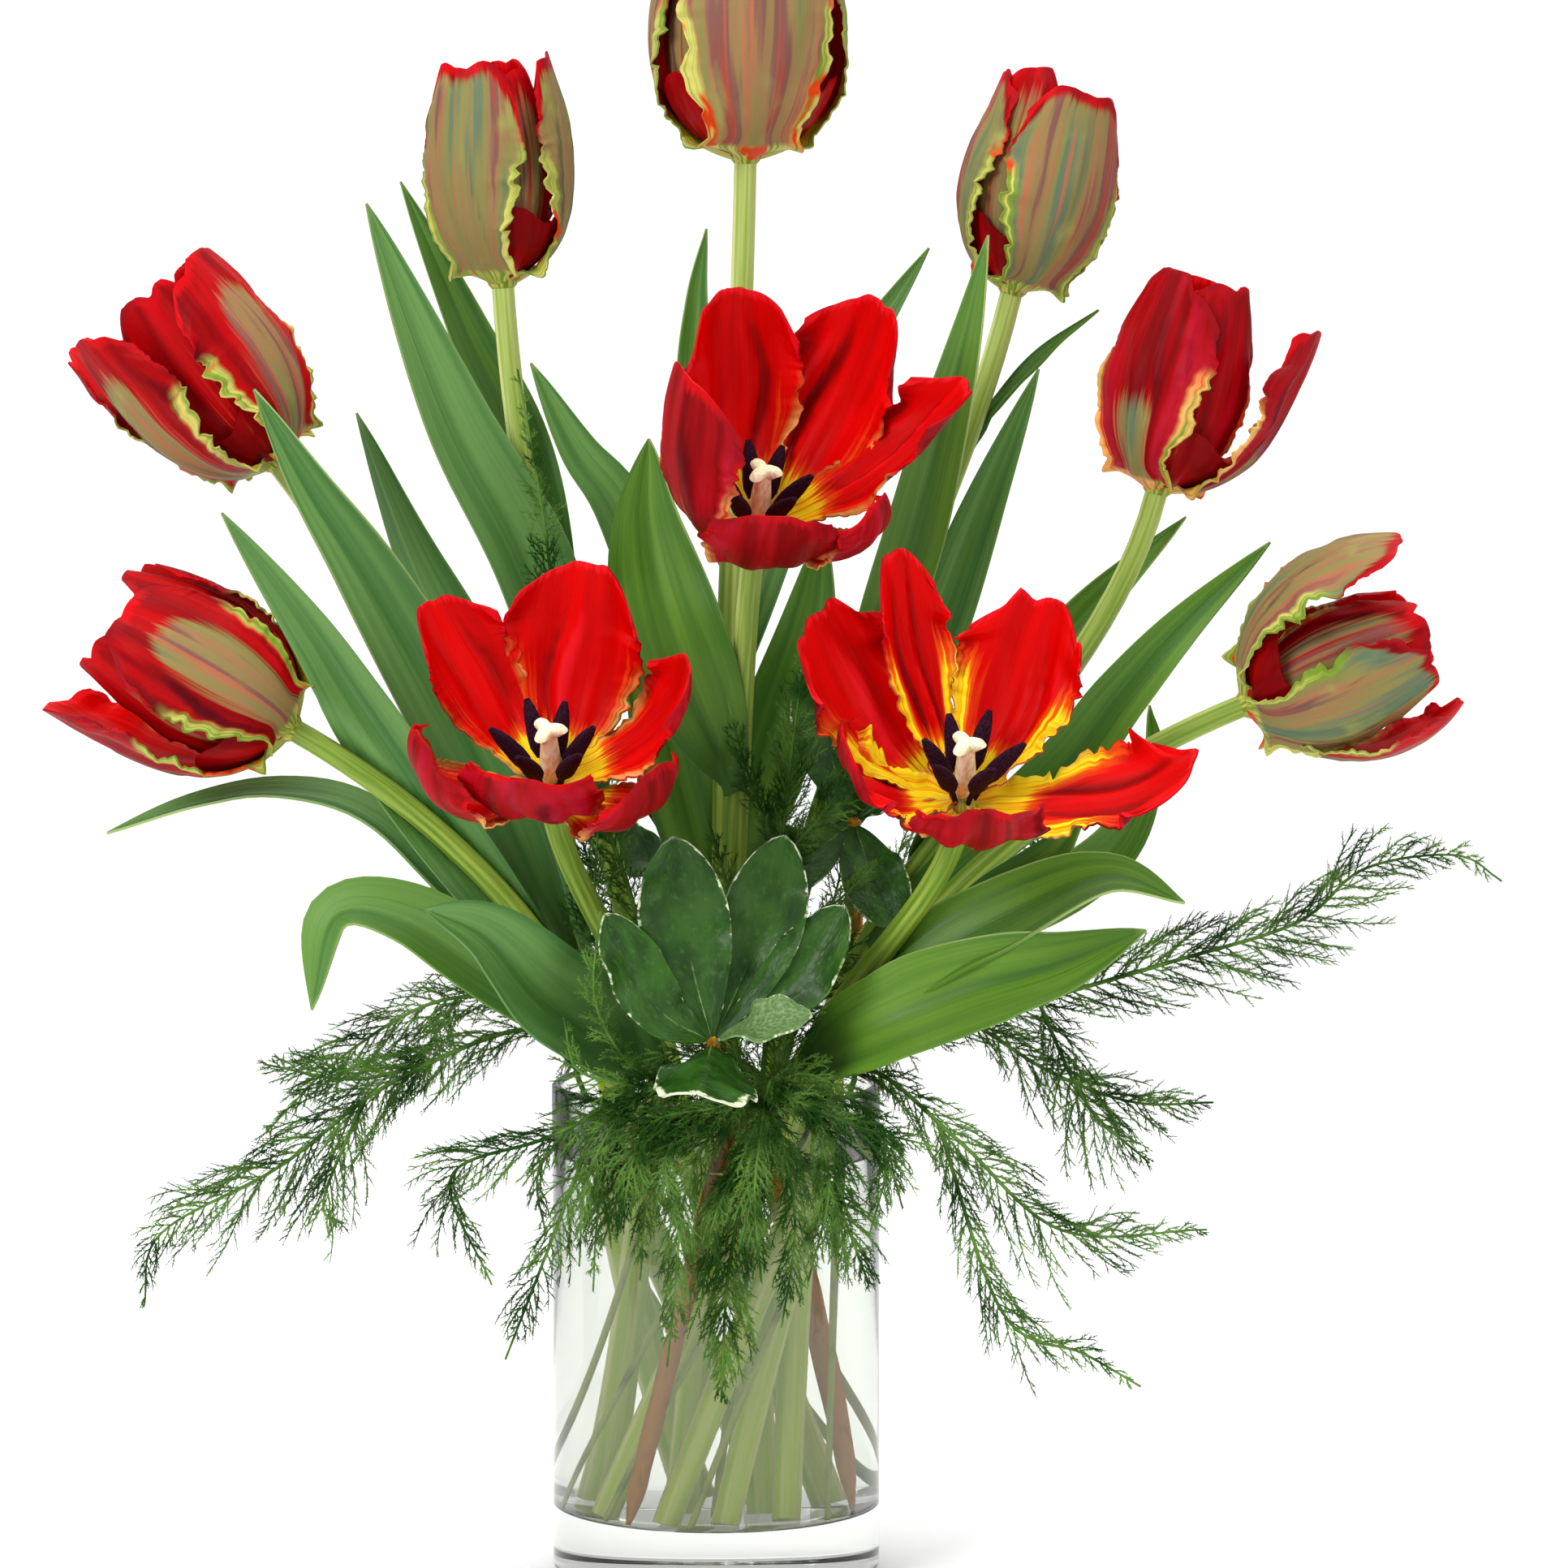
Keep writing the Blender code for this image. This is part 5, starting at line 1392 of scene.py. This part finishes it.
@dataclass
class Fern:
    """An asparagus fern frond: a wiry stem, and sprays of side branches set with fine needles.

    A fork or a wisp is the share of the route where it leaves the stem, and the points that it follows.
    """

    name: str
    neck: Spot
    reach: float
    route: list[Point]
    forks: list[tuple[float, list[Point]]] = field(default_factory=list)
    wisps: list[tuple[float, list[Point]]] = field(default_factory=list)
    branch_spacing: float = 3.4

    twiglet_spacing: ClassVar[float] = 3.0
    needle_spacing: ClassVar[float] = 0.31
    needle_length: ClassVar[float] = 2.4
    needle_radius: ClassVar[float] = 0.16
    branch_radius: ClassVar[float] = 0.34
    twiglet_radius: ClassVar[float] = 0.2
    shortest_branch: ClassVar[float] = 3.0
    stem_radii: ClassVar[tuple[float, ...]] = (1.0, 1.0, 0.8, 0.6, 0.3)
    fork_radii: ClassVar[tuple[float, float]] = (0.65, 0.35)
    wisp_radii: ClassVar[tuple[float, float]] = (0.5, 0.3)
    wisps_in_a_piece: ClassVar[int] = 6

    def coat(self, path: Array, length: float, draw: np.random.Generator) -> Array:
        """Needles set all round a wire, each leaning towards the wire's tip.

        Args:
            path: The wire's middle.
            length: The length of its longest needles.
            draw: The seeded generator.

        Returns:
            Rows of foot, tip and radius.
        """
        run = run_of(path)
        at = np.arange(0.4, run[-1], self.needle_spacing)
        at = at + draw.uniform(-0.2, 0.2, len(at))
        feet = between(at, run, path)
        along = units(np.diff(path, axis=0)[np.clip(np.searchsorted(run, at) - 1, 0, len(path) - 2)])
        first = units(np.cross(along, (0.31, 0.87, 0.2)))
        spin = draw.uniform(0, 2 * math.pi, len(at))[:, None]
        ring = np.cos(spin) * first + np.sin(spin) * np.cross(along, first)
        lean = draw.uniform(0.45, 0.95, (len(at), 1))
        size = length * draw.uniform(0.55, 1.1, (len(at), 1)) * np.clip(1.25 - at / run[-1], 0.35, 1)[:, None]
        tips = feet + (along * np.cos(lean) + ring * np.sin(lean)) * size
        return np.hstack([feet, tips, np.full((len(at), 1), self.needle_radius)])

    def wire(self, path: Array, radius: float) -> Array:
        """A fine wire as a chain of spikes that overlap by half, thinner towards its tip."""
        last = len(path) - 1
        return np.array([[*path[i], *path[min(i + 2, last)], radius * (1 - 0.6 * i / last)]
                         for i in range(last)])

    def spray(self, line: Array, reach: float, near: NearTest, draw: np.random.Generator) -> list[Array]:
        """The side branches along a line, their twiglets and needles.

        Args:
            line: The spray's own stem.
            reach: The length of the longest branches.
            near: Says whether a branch comes close to another piece.
            draw: The seeded generator.

        Returns:
            An array for each branch, with a row for each spike: foot, tip and radius.
        """
        spikes = [self.coat(line, self.needle_length * 1.3, draw)]
        count = max(int(np.linalg.norm(np.diff(line, axis=0), axis=1).sum() / self.branch_spacing), 3)
        for i in range(count):
            for sign in (-1, 1):
                share = (i + 0.5 + 0.25 * sign + draw.uniform(-0.3, 0.3)) / count
                place = min(max(share, 0.0), 0.98) * (len(line) - 1)
                foot = point_at(line, place)
                along = heading(line, place, 0.6)
                flat = unit(np.cross(along, (0.15, -1.0, 0.25)) + draw.uniform(-0.45, 0.45, 3))
                toward = unit(flat * sign + along * draw.uniform(0.9, 1.7))
                size = reach * (0.45 + 0.75 * math.sin(math.pi * (0.15 + 0.75 * share)))
                size = size * draw.uniform(0.55, 1.25) * (1 - 0.75 * smooth_step(share, 0.6, 1.0))
                while size > self.shortest_branch and near(foot, foot + toward * size, along):
                    size *= 0.75
                if size > self.shortest_branch:
                    spikes.append(self.branch(foot, toward, along, size, draw))
        return spikes

    def branch(self, foot: Array, toward: Array, along: Array, size: float,
               draw: np.random.Generator) -> Array:
        """One side branch, bending towards the spray's tip, with its twiglets and needles."""
        t = np.linspace(0, 1, 7)[:, None]
        bend = along * BRANCH_BEND - UP * BRANCH_DROOP
        path = foot + size * (toward * t * (1 - BRANCH_BEND * t) + bend * t ** 2)
        rows = [self.wire(path, self.branch_radius), self.coat(path, self.needle_length, draw)]
        twiglets = int(size / self.twiglet_spacing)
        for j in range(twiglets):
            place = 6 * (j + 0.7) / (twiglets + 0.8)
            way = heading(path, place, 0.5)
            other = unit(draw.normal(size=3))
            way = unit(way * 1.1 + unit(other - other.dot(way) * way) * 0.8 - UP * 0.1)
            reach = size * 0.2 * (1.3 - j / twiglets) + 1.5
            twig = point_at(path, place) + way * reach * np.linspace(0, 1, 3)[:, None]
            rows += [self.wire(twig, self.twiglet_radius), self.coat(twig, self.needle_length * 0.75, draw)]
        return np.vstack(rows)

    def spikes(self, name: str, rows: Array) -> Piece:
        """One mesh of many slim closed spikes, all copies of one three-sided cone.

        Args:
            name: The object's name.
            rows: Foot, tip and radius of each.

        Returns:
            The object.
        """
        clear_selection()
        bpy.ops.mesh.primitive_cone_add(vertices=3, radius1=1, radius2=0, depth=1, location=(0, 0, 0.5))
        cone = bpy.context.object
        bpy.ops.object.transform_apply(location=True)
        shape = np.array([v.co for v in cone.data.vertices])
        faces = np.array([list(p.vertices) for p in cone.data.polygons if len(p.vertices) == 3])
        foot, tip, radius = rows[:, :3], rows[:, 3:6], rows[:, 6:]
        axis = tip - foot
        first = units(np.cross(axis, (0.37, 0.61, 0.7)))
        second = units(np.cross(axis, first))
        section = first[:, None] * shape[None, :, :1] + second[:, None] * shape[None, :, 1:2]
        points = foot[:, None] + axis[:, None] * shape[None, :, 2:] + radius[:, None] * section
        numbers = faces[None] + len(shape) * np.arange(len(rows))[:, None, None]
        mesh = bpy.data.meshes.new(name)
        mesh.from_pydata(points.reshape(-1, 3) * MM, [], numbers.reshape(-1, 3))
        mesh.update()
        cone.data = mesh
        cone.name = name
        return cone

    def build(self, near: NearTest, seed: int) -> None:
        """Make the frond.

        Args:
            near: Says whether a branch comes close to another piece.
            seed: Seeds its growth.
        """
        draw = np.random.default_rng(seed)
        below, high, rise = below_rim(self.neck, 7)
        route = [high, high + rise * 6, *self.route]
        line, fine = smooth_path(route, 16), smooth_path(route, 60)

        def side(share: float, points: list[Point], count: int) -> Array:
            """The middle of a fork or a wisp, in this many points."""
            return smooth_path([point_at(line, share * (len(line) - 1)), *points], count)

        wires = [tube("wire", np.array([*below, *fine]), self.stem_radii, 8)]
        rows = self.spray(fine[6:], self.reach, near, draw)
        for share, points in self.forks:
            path = side(share, points, 30)
            wires.append(tube("wire", path, self.fork_radii, 8))
            rows += self.spray(path, self.reach * 0.8, near, draw)
        self.finish("frond", wires, rows)
        for first in range(0, len(self.wisps), self.wisps_in_a_piece):
            wires, rows = [], []
            for share, points in self.wisps[first:first + self.wisps_in_a_piece]:
                path = side(share, points, 24)
                wires.append(tube("wire", path, self.wisp_radii, 6))
                rows += self.spray(path, self.reach * 0.55, near, draw)
            self.finish(f"wisps_{first}", wires, rows)

    def finish(self, kind: str, wires: list[Piece], rows: list[Array]) -> None:
        """Make one piece of some of the frond's wires and needles."""
        needles = self.spikes("needles", np.vstack(rows))
        parts = [dressed(part, FERN) for part in [*wires, needles]]
        settle(join(f"{kind}_{self.name}", parts), f"fern_{self.name}")


FERNS = [
    Fern("left_long", (-42, 4), 24,
         [(-60, -2, 166), (-100, -10, 150), (-132, -14, 126), (-168, -18, 106), (-173, -20, 84)],
         [(0.3, [(-110, 4, 150), (-138, 8, 154)]), (0.45, [(-118, -24, 118), (-114, -30, 110)])]),
    Fern("left_low", (-12, -40), 18, [(-24, -54, 153), (-50, -62, 142), (-78, -60, 130), (-66, -62, 98)],
         [(0.3, [(-48, -62, 112), (-62, -64, 76)])],
         [(0.1, [(-26, -66, 166), (-35, -76, 186), (-33, -80, 212)]),
          (0.12, [(-24, -64, 158), (-40, -72, 164), (-44, -76, 180)]),
          (0.16, [(-30, -64, 146), (-38, -66, 128), (-40, -64, 104)]),
          (0.22, [(-38, -60, 148), (-52, -60, 132), (-50, -58, 112)])]),
    Fern("left_back", (-30, 24), 20, [(-48, 32, 168), (-84, 38, 170), (-116, 40, 152), (-140, 42, 128)],
         [(0.45, [(-92, 60, 150), (-104, 74, 132)])]),
    Fern("front_hanging", (16, -40), 20, [(16, -54, 156), (10, -60, 132), (4, -60, 100), (2, -58, 62)],
         [(0.2, [(-20, -60, 140), (-34, -58, 108)]), (0.3, [(34, -62, 126), (46, -60, 98)])],
         [(0.14, [(-4, -60, 158), (-26, -62, 152), (-34, -62, 122), (-36, -61, 96)]),
          (0.16, [(0, -60, 152), (-18, -64, 134), (-22, -64, 100)]),
          (0.18, [(4, -62, 150), (-8, -65, 128), (-12, -66, 92), (-14, -64, 74)]),
          (0.14, [(30, -58, 160), (48, -58, 146), (56, -56, 120)]),
          (0.2, [(20, -64, 142), (24, -66, 116), (20, -66, 86)]),
          (0.16, [(26, -62, 152), (38, -64, 136), (36, -62, 104)]),
          (0.14, [(2, -64, 152), (-20, -68, 146), (-28, -68, 116)]),
          (0.18, [(2, -62, 146), (-14, -66, 138), (-10, -68, 112)]),
          (0.2, [(10, -60, 140), (0, -64, 118), (-4, -64, 92)]),
          (0.18, [(28, -62, 150), (34, -66, 128), (28, -64, 100)]),
          (0.16, [(28, -60, 156), (50, -62, 138), (46, -60, 112)]),
          (0.2, [(14, -66, 146), (12, -70, 126), (14, -68, 100)]),
          (0.16, [(24, -66, 154), (44, -68, 146), (66, -66, 140)]),
          (0.08, [(4, -50, 160), (-10, -54, 166), (-22, -56, 164)]),
          (0.08, [(20, -48, 162), (26, -50, 176), (30, -50, 190)]),
          (0.06, [(8, -44, 160), (4, -46, 176), (0, -46, 192)]),
          (0.06, [(6, -42, 164), (-8, -44, 172), (-20, -46, 178)]),
          (0.06, [(22, -42, 162), (19, -44, 174), (14, -44, 186)]),
          (0.06, [(4, -40, 160), (-6, -38, 169), (-16, -37, 182)]),
          (0.06, [(18, -38, 160), (17, -37, 171), (12, -35, 188)])], branch_spacing=2.4),
    Fern("right_low", (34, -26), 20, [(50, -42, 158), (74, -48, 138), (104, -48, 112), (147, -46, 112)],
         [(0.35, [(86, -54, 88), (110, -54, 76), (127, -54, 66)])]),
    Fern("right_long", (42, 0), 24,
         [(58, -4, 164), (98, -8, 176), (138, -10, 188), (176, -10, 200), (196, -8, 216), (224, -6, 220),
          (238, -6, 212)],
         [(0.2, [(102, 6, 152), (128, 10, 142), (152, 10, 142)]),
          (0.3, [(112, -18, 146), (131, -20, 128)])]),
    Fern("upright_left", (-16, 4), 14, [(-24, 2, 200), (-44, 4, 262), (-52, 8, 320), (-60, 12, 366)],
         [], [(0.12, [(-20, -10, 190), (-14, -16, 214)]), (0.2, [(-34, -10, 196), (-46, -14, 206)]),
              (0.3, [(-36, -4, 212), (-42, -8, 232), (-44, -10, 246)]),
              (0.12, [(-28, -14, 182), (-40, -20, 202), (-45, -22, 224)]),
              (0.15, [(-28, -6, 188), (-36, -14, 208), (-35, -18, 232)])],
         branch_spacing=2.6),
    Fern("upright_centre", (14, 2), 16, [(18, -8, 200), (22, -16, 244), (28, -18, 290)],
         [(0.5, [(36, -24, 240), (44, -28, 262)])],
         [(0.1, [(14, -20, 166), (12, -34, 176)]), (0.2, [(30, -12, 186), (46, -16, 196)]),
          (0.3, [(36, -12, 206), (52, -16, 222)]), (0.3, [(6, -12, 206), (-2, -18, 232)]),
          (0.5, [(10, -20, 246), (4, -24, 268)]), (0.15, [(22, -20, 170), (34, -26, 184), (40, -28, 200)]),
          (0.12, [(6, -18, 170), (-6, -24, 186), (-16, -26, 204)]),
          (0.2, [(10, -14, 190), (0, -20, 210), (-14, -22, 226)]),
          (0.15, [(26, -14, 172), (37, -18, 190), (40, -20, 214)])], branch_spacing=2.6),
    Fern("back_left", (-18, 38), 22, [(-32, 56, 172), (-54, 74, 196), (-78, 88, 204), (-98, 98, 186)],
         [(0.4, [(-40, 84, 166), (-44, 98, 130)])],
         [(0.1, [(-24, 46, 180), (-34, 44, 206), (-42, 42, 236)])]),
    Fern("back_right", (22, 36), 22, [(36, 58, 176), (62, 72, 206), (92, 82, 218), (118, 88, 206)],
         [(0.35, [(48, 84, 166), (56, 98, 128)])],
         [(0.1, [(30, 44, 176), (36, 40, 200), (42, 36, 226)]),
          (0.08, [(16, 44, 176), (14, 42, 200), (10, 40, 226)])]),
]


# Studio


@dataclass
class Studio:
    """A pale floor, soft light and the camera at the photograph's angle; lengths in metres."""

    target: Point = (0.0207, 0.0, 0.241)
    distance: float = 2.2
    elevation: float = math.radians(6)
    seen_height: float = 0.4753
    sensor_mm: float = 36.0
    floor_radius: float = 1.0
    floor_height: float = -0.0004
    lamps: tuple[tuple[Point, float, float], ...] = (
        ((-0.9, -1.2, 1.1), 0.7, 17),
        ((1.3, -0.9, 0.7), 0.9, 5),
        ((0.0, 0.2, 1.9), 2.2, 42),
    )
    light_shed: float = 0.62
    light_seen: float = 1.1

    def build(self) -> None:
        """Make the camera, the lights and the floor."""
        clear_selection()
        self.camera()
        for place, size, power in self.lamps:
            self.lamp(place, size, power)
        self.world()
        bpy.context.scene.view_settings.view_transform = "Standard"
        bpy.ops.mesh.primitive_circle_add(vertices=96, radius=self.floor_radius, fill_type="NGON",
                                          location=(0, 0, self.floor_height))
        floor = bpy.context.object
        floor.name = "studio_floor"
        dressed(floor, Mottled("pale studio floor", 0.9, "#F8F8F8", "#FCFCFC", 200.0))

    def camera(self) -> None:
        """A long lens, a little above the arrangement, that frames it as the photograph does."""
        target = Vector(self.target)
        away = Vector((0, -math.cos(self.elevation), math.sin(self.elevation)))
        bpy.ops.object.camera_add(location=target + away * self.distance)
        camera = bpy.context.object
        camera.rotation_euler = away.to_track_quat("Z", "Y").to_euler()
        camera.data.sensor_width = self.sensor_mm
        camera.data.lens = self.sensor_mm * self.distance / self.seen_height
        camera.data.clip_end = 20
        bpy.context.scene.camera = camera

    def world(self) -> None:
        """A white surround, brighter behind the arrangement than the light that it sheds."""
        world = bpy.data.worlds.new("white studio")
        world.use_nodes = True
        nodes = Nodes(world.node_tree)
        seen = nodes.add("LightPath").outputs["Is Camera Ray"]
        reach = {"Value": seen, "To Min": self.light_shed, "To Max": self.light_seen}
        strength = nodes.add("MapRange", reach).outputs["Result"]
        nodes.fill(world.node_tree.nodes["Background"], {"Color": (1, 1, 1, 1), "Strength": strength})
        bpy.context.scene.world = world

    def lamp(self, place: Point, size: float, power: float) -> None:
        """A square soft light aimed at the arrangement."""
        bpy.ops.object.light_add(type="AREA", location=place)
        lamp = bpy.context.object
        lamp.data.size = size
        lamp.data.energy = power
        lamp.rotation_euler = (Vector(place) - Vector(self.target)).to_track_quat("Z", "Y").to_euler()


def near_test(clearance: float) -> NearTest:
    """A test of whether a branch comes close to any solid but fern and water.

    Args:
        clearance: How close, in millimetres.

    Returns:
        A function of the branch's two ends and the direction that it bends in.
    """
    points, faces = [], []
    for name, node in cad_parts.items():
        if not name.startswith(("fern", "water")):
            first = len(points)
            points += [v.co / MM for v in node.data.vertices]
            faces += [[first + k for k in p.vertices] for p in node.data.polygons]
    tree = BVHTree.FromPolygons(points, faces)
    low, high = np.array(CAD_BOX) / MM

    def near(start: Array, end: Array, along: Array) -> bool:
        """Whether the branch comes too close to a solid, or leaves the model's box."""
        size = np.linalg.norm(end - start)
        bend = along * BRANCH_BEND - UP * BRANCH_DROOP
        spots = [start + (end - start) * t + bend * size * t * t for t in (0.3, 0.6, 0.9, 1.1)]
        outside = any((spot < low + BOX_MARGIN).any() or (spot > high - BOX_MARGIN).any() for spot in spots)
        return outside or any(tree.find_nearest(Vector(spot), clearance)[0] is not None for spot in spots)

    return near


def main() -> None:
    """Build every piece of the arrangement, and the studio round it."""
    logging.basicConfig(level=logging.INFO, format="%(name)s: %(message)s")
    near = near_test(BRANCH_CLEARANCE)
    Studio().build()
    Vase().build()
    for tulip in TULIPS:
        tulip.build()
    for sprig in SPRIGS:
        sprig.build()
    for i, fern in enumerate(FERNS):
        fern.build(near, 11 + i)


if __name__ == "__main__":
    main()
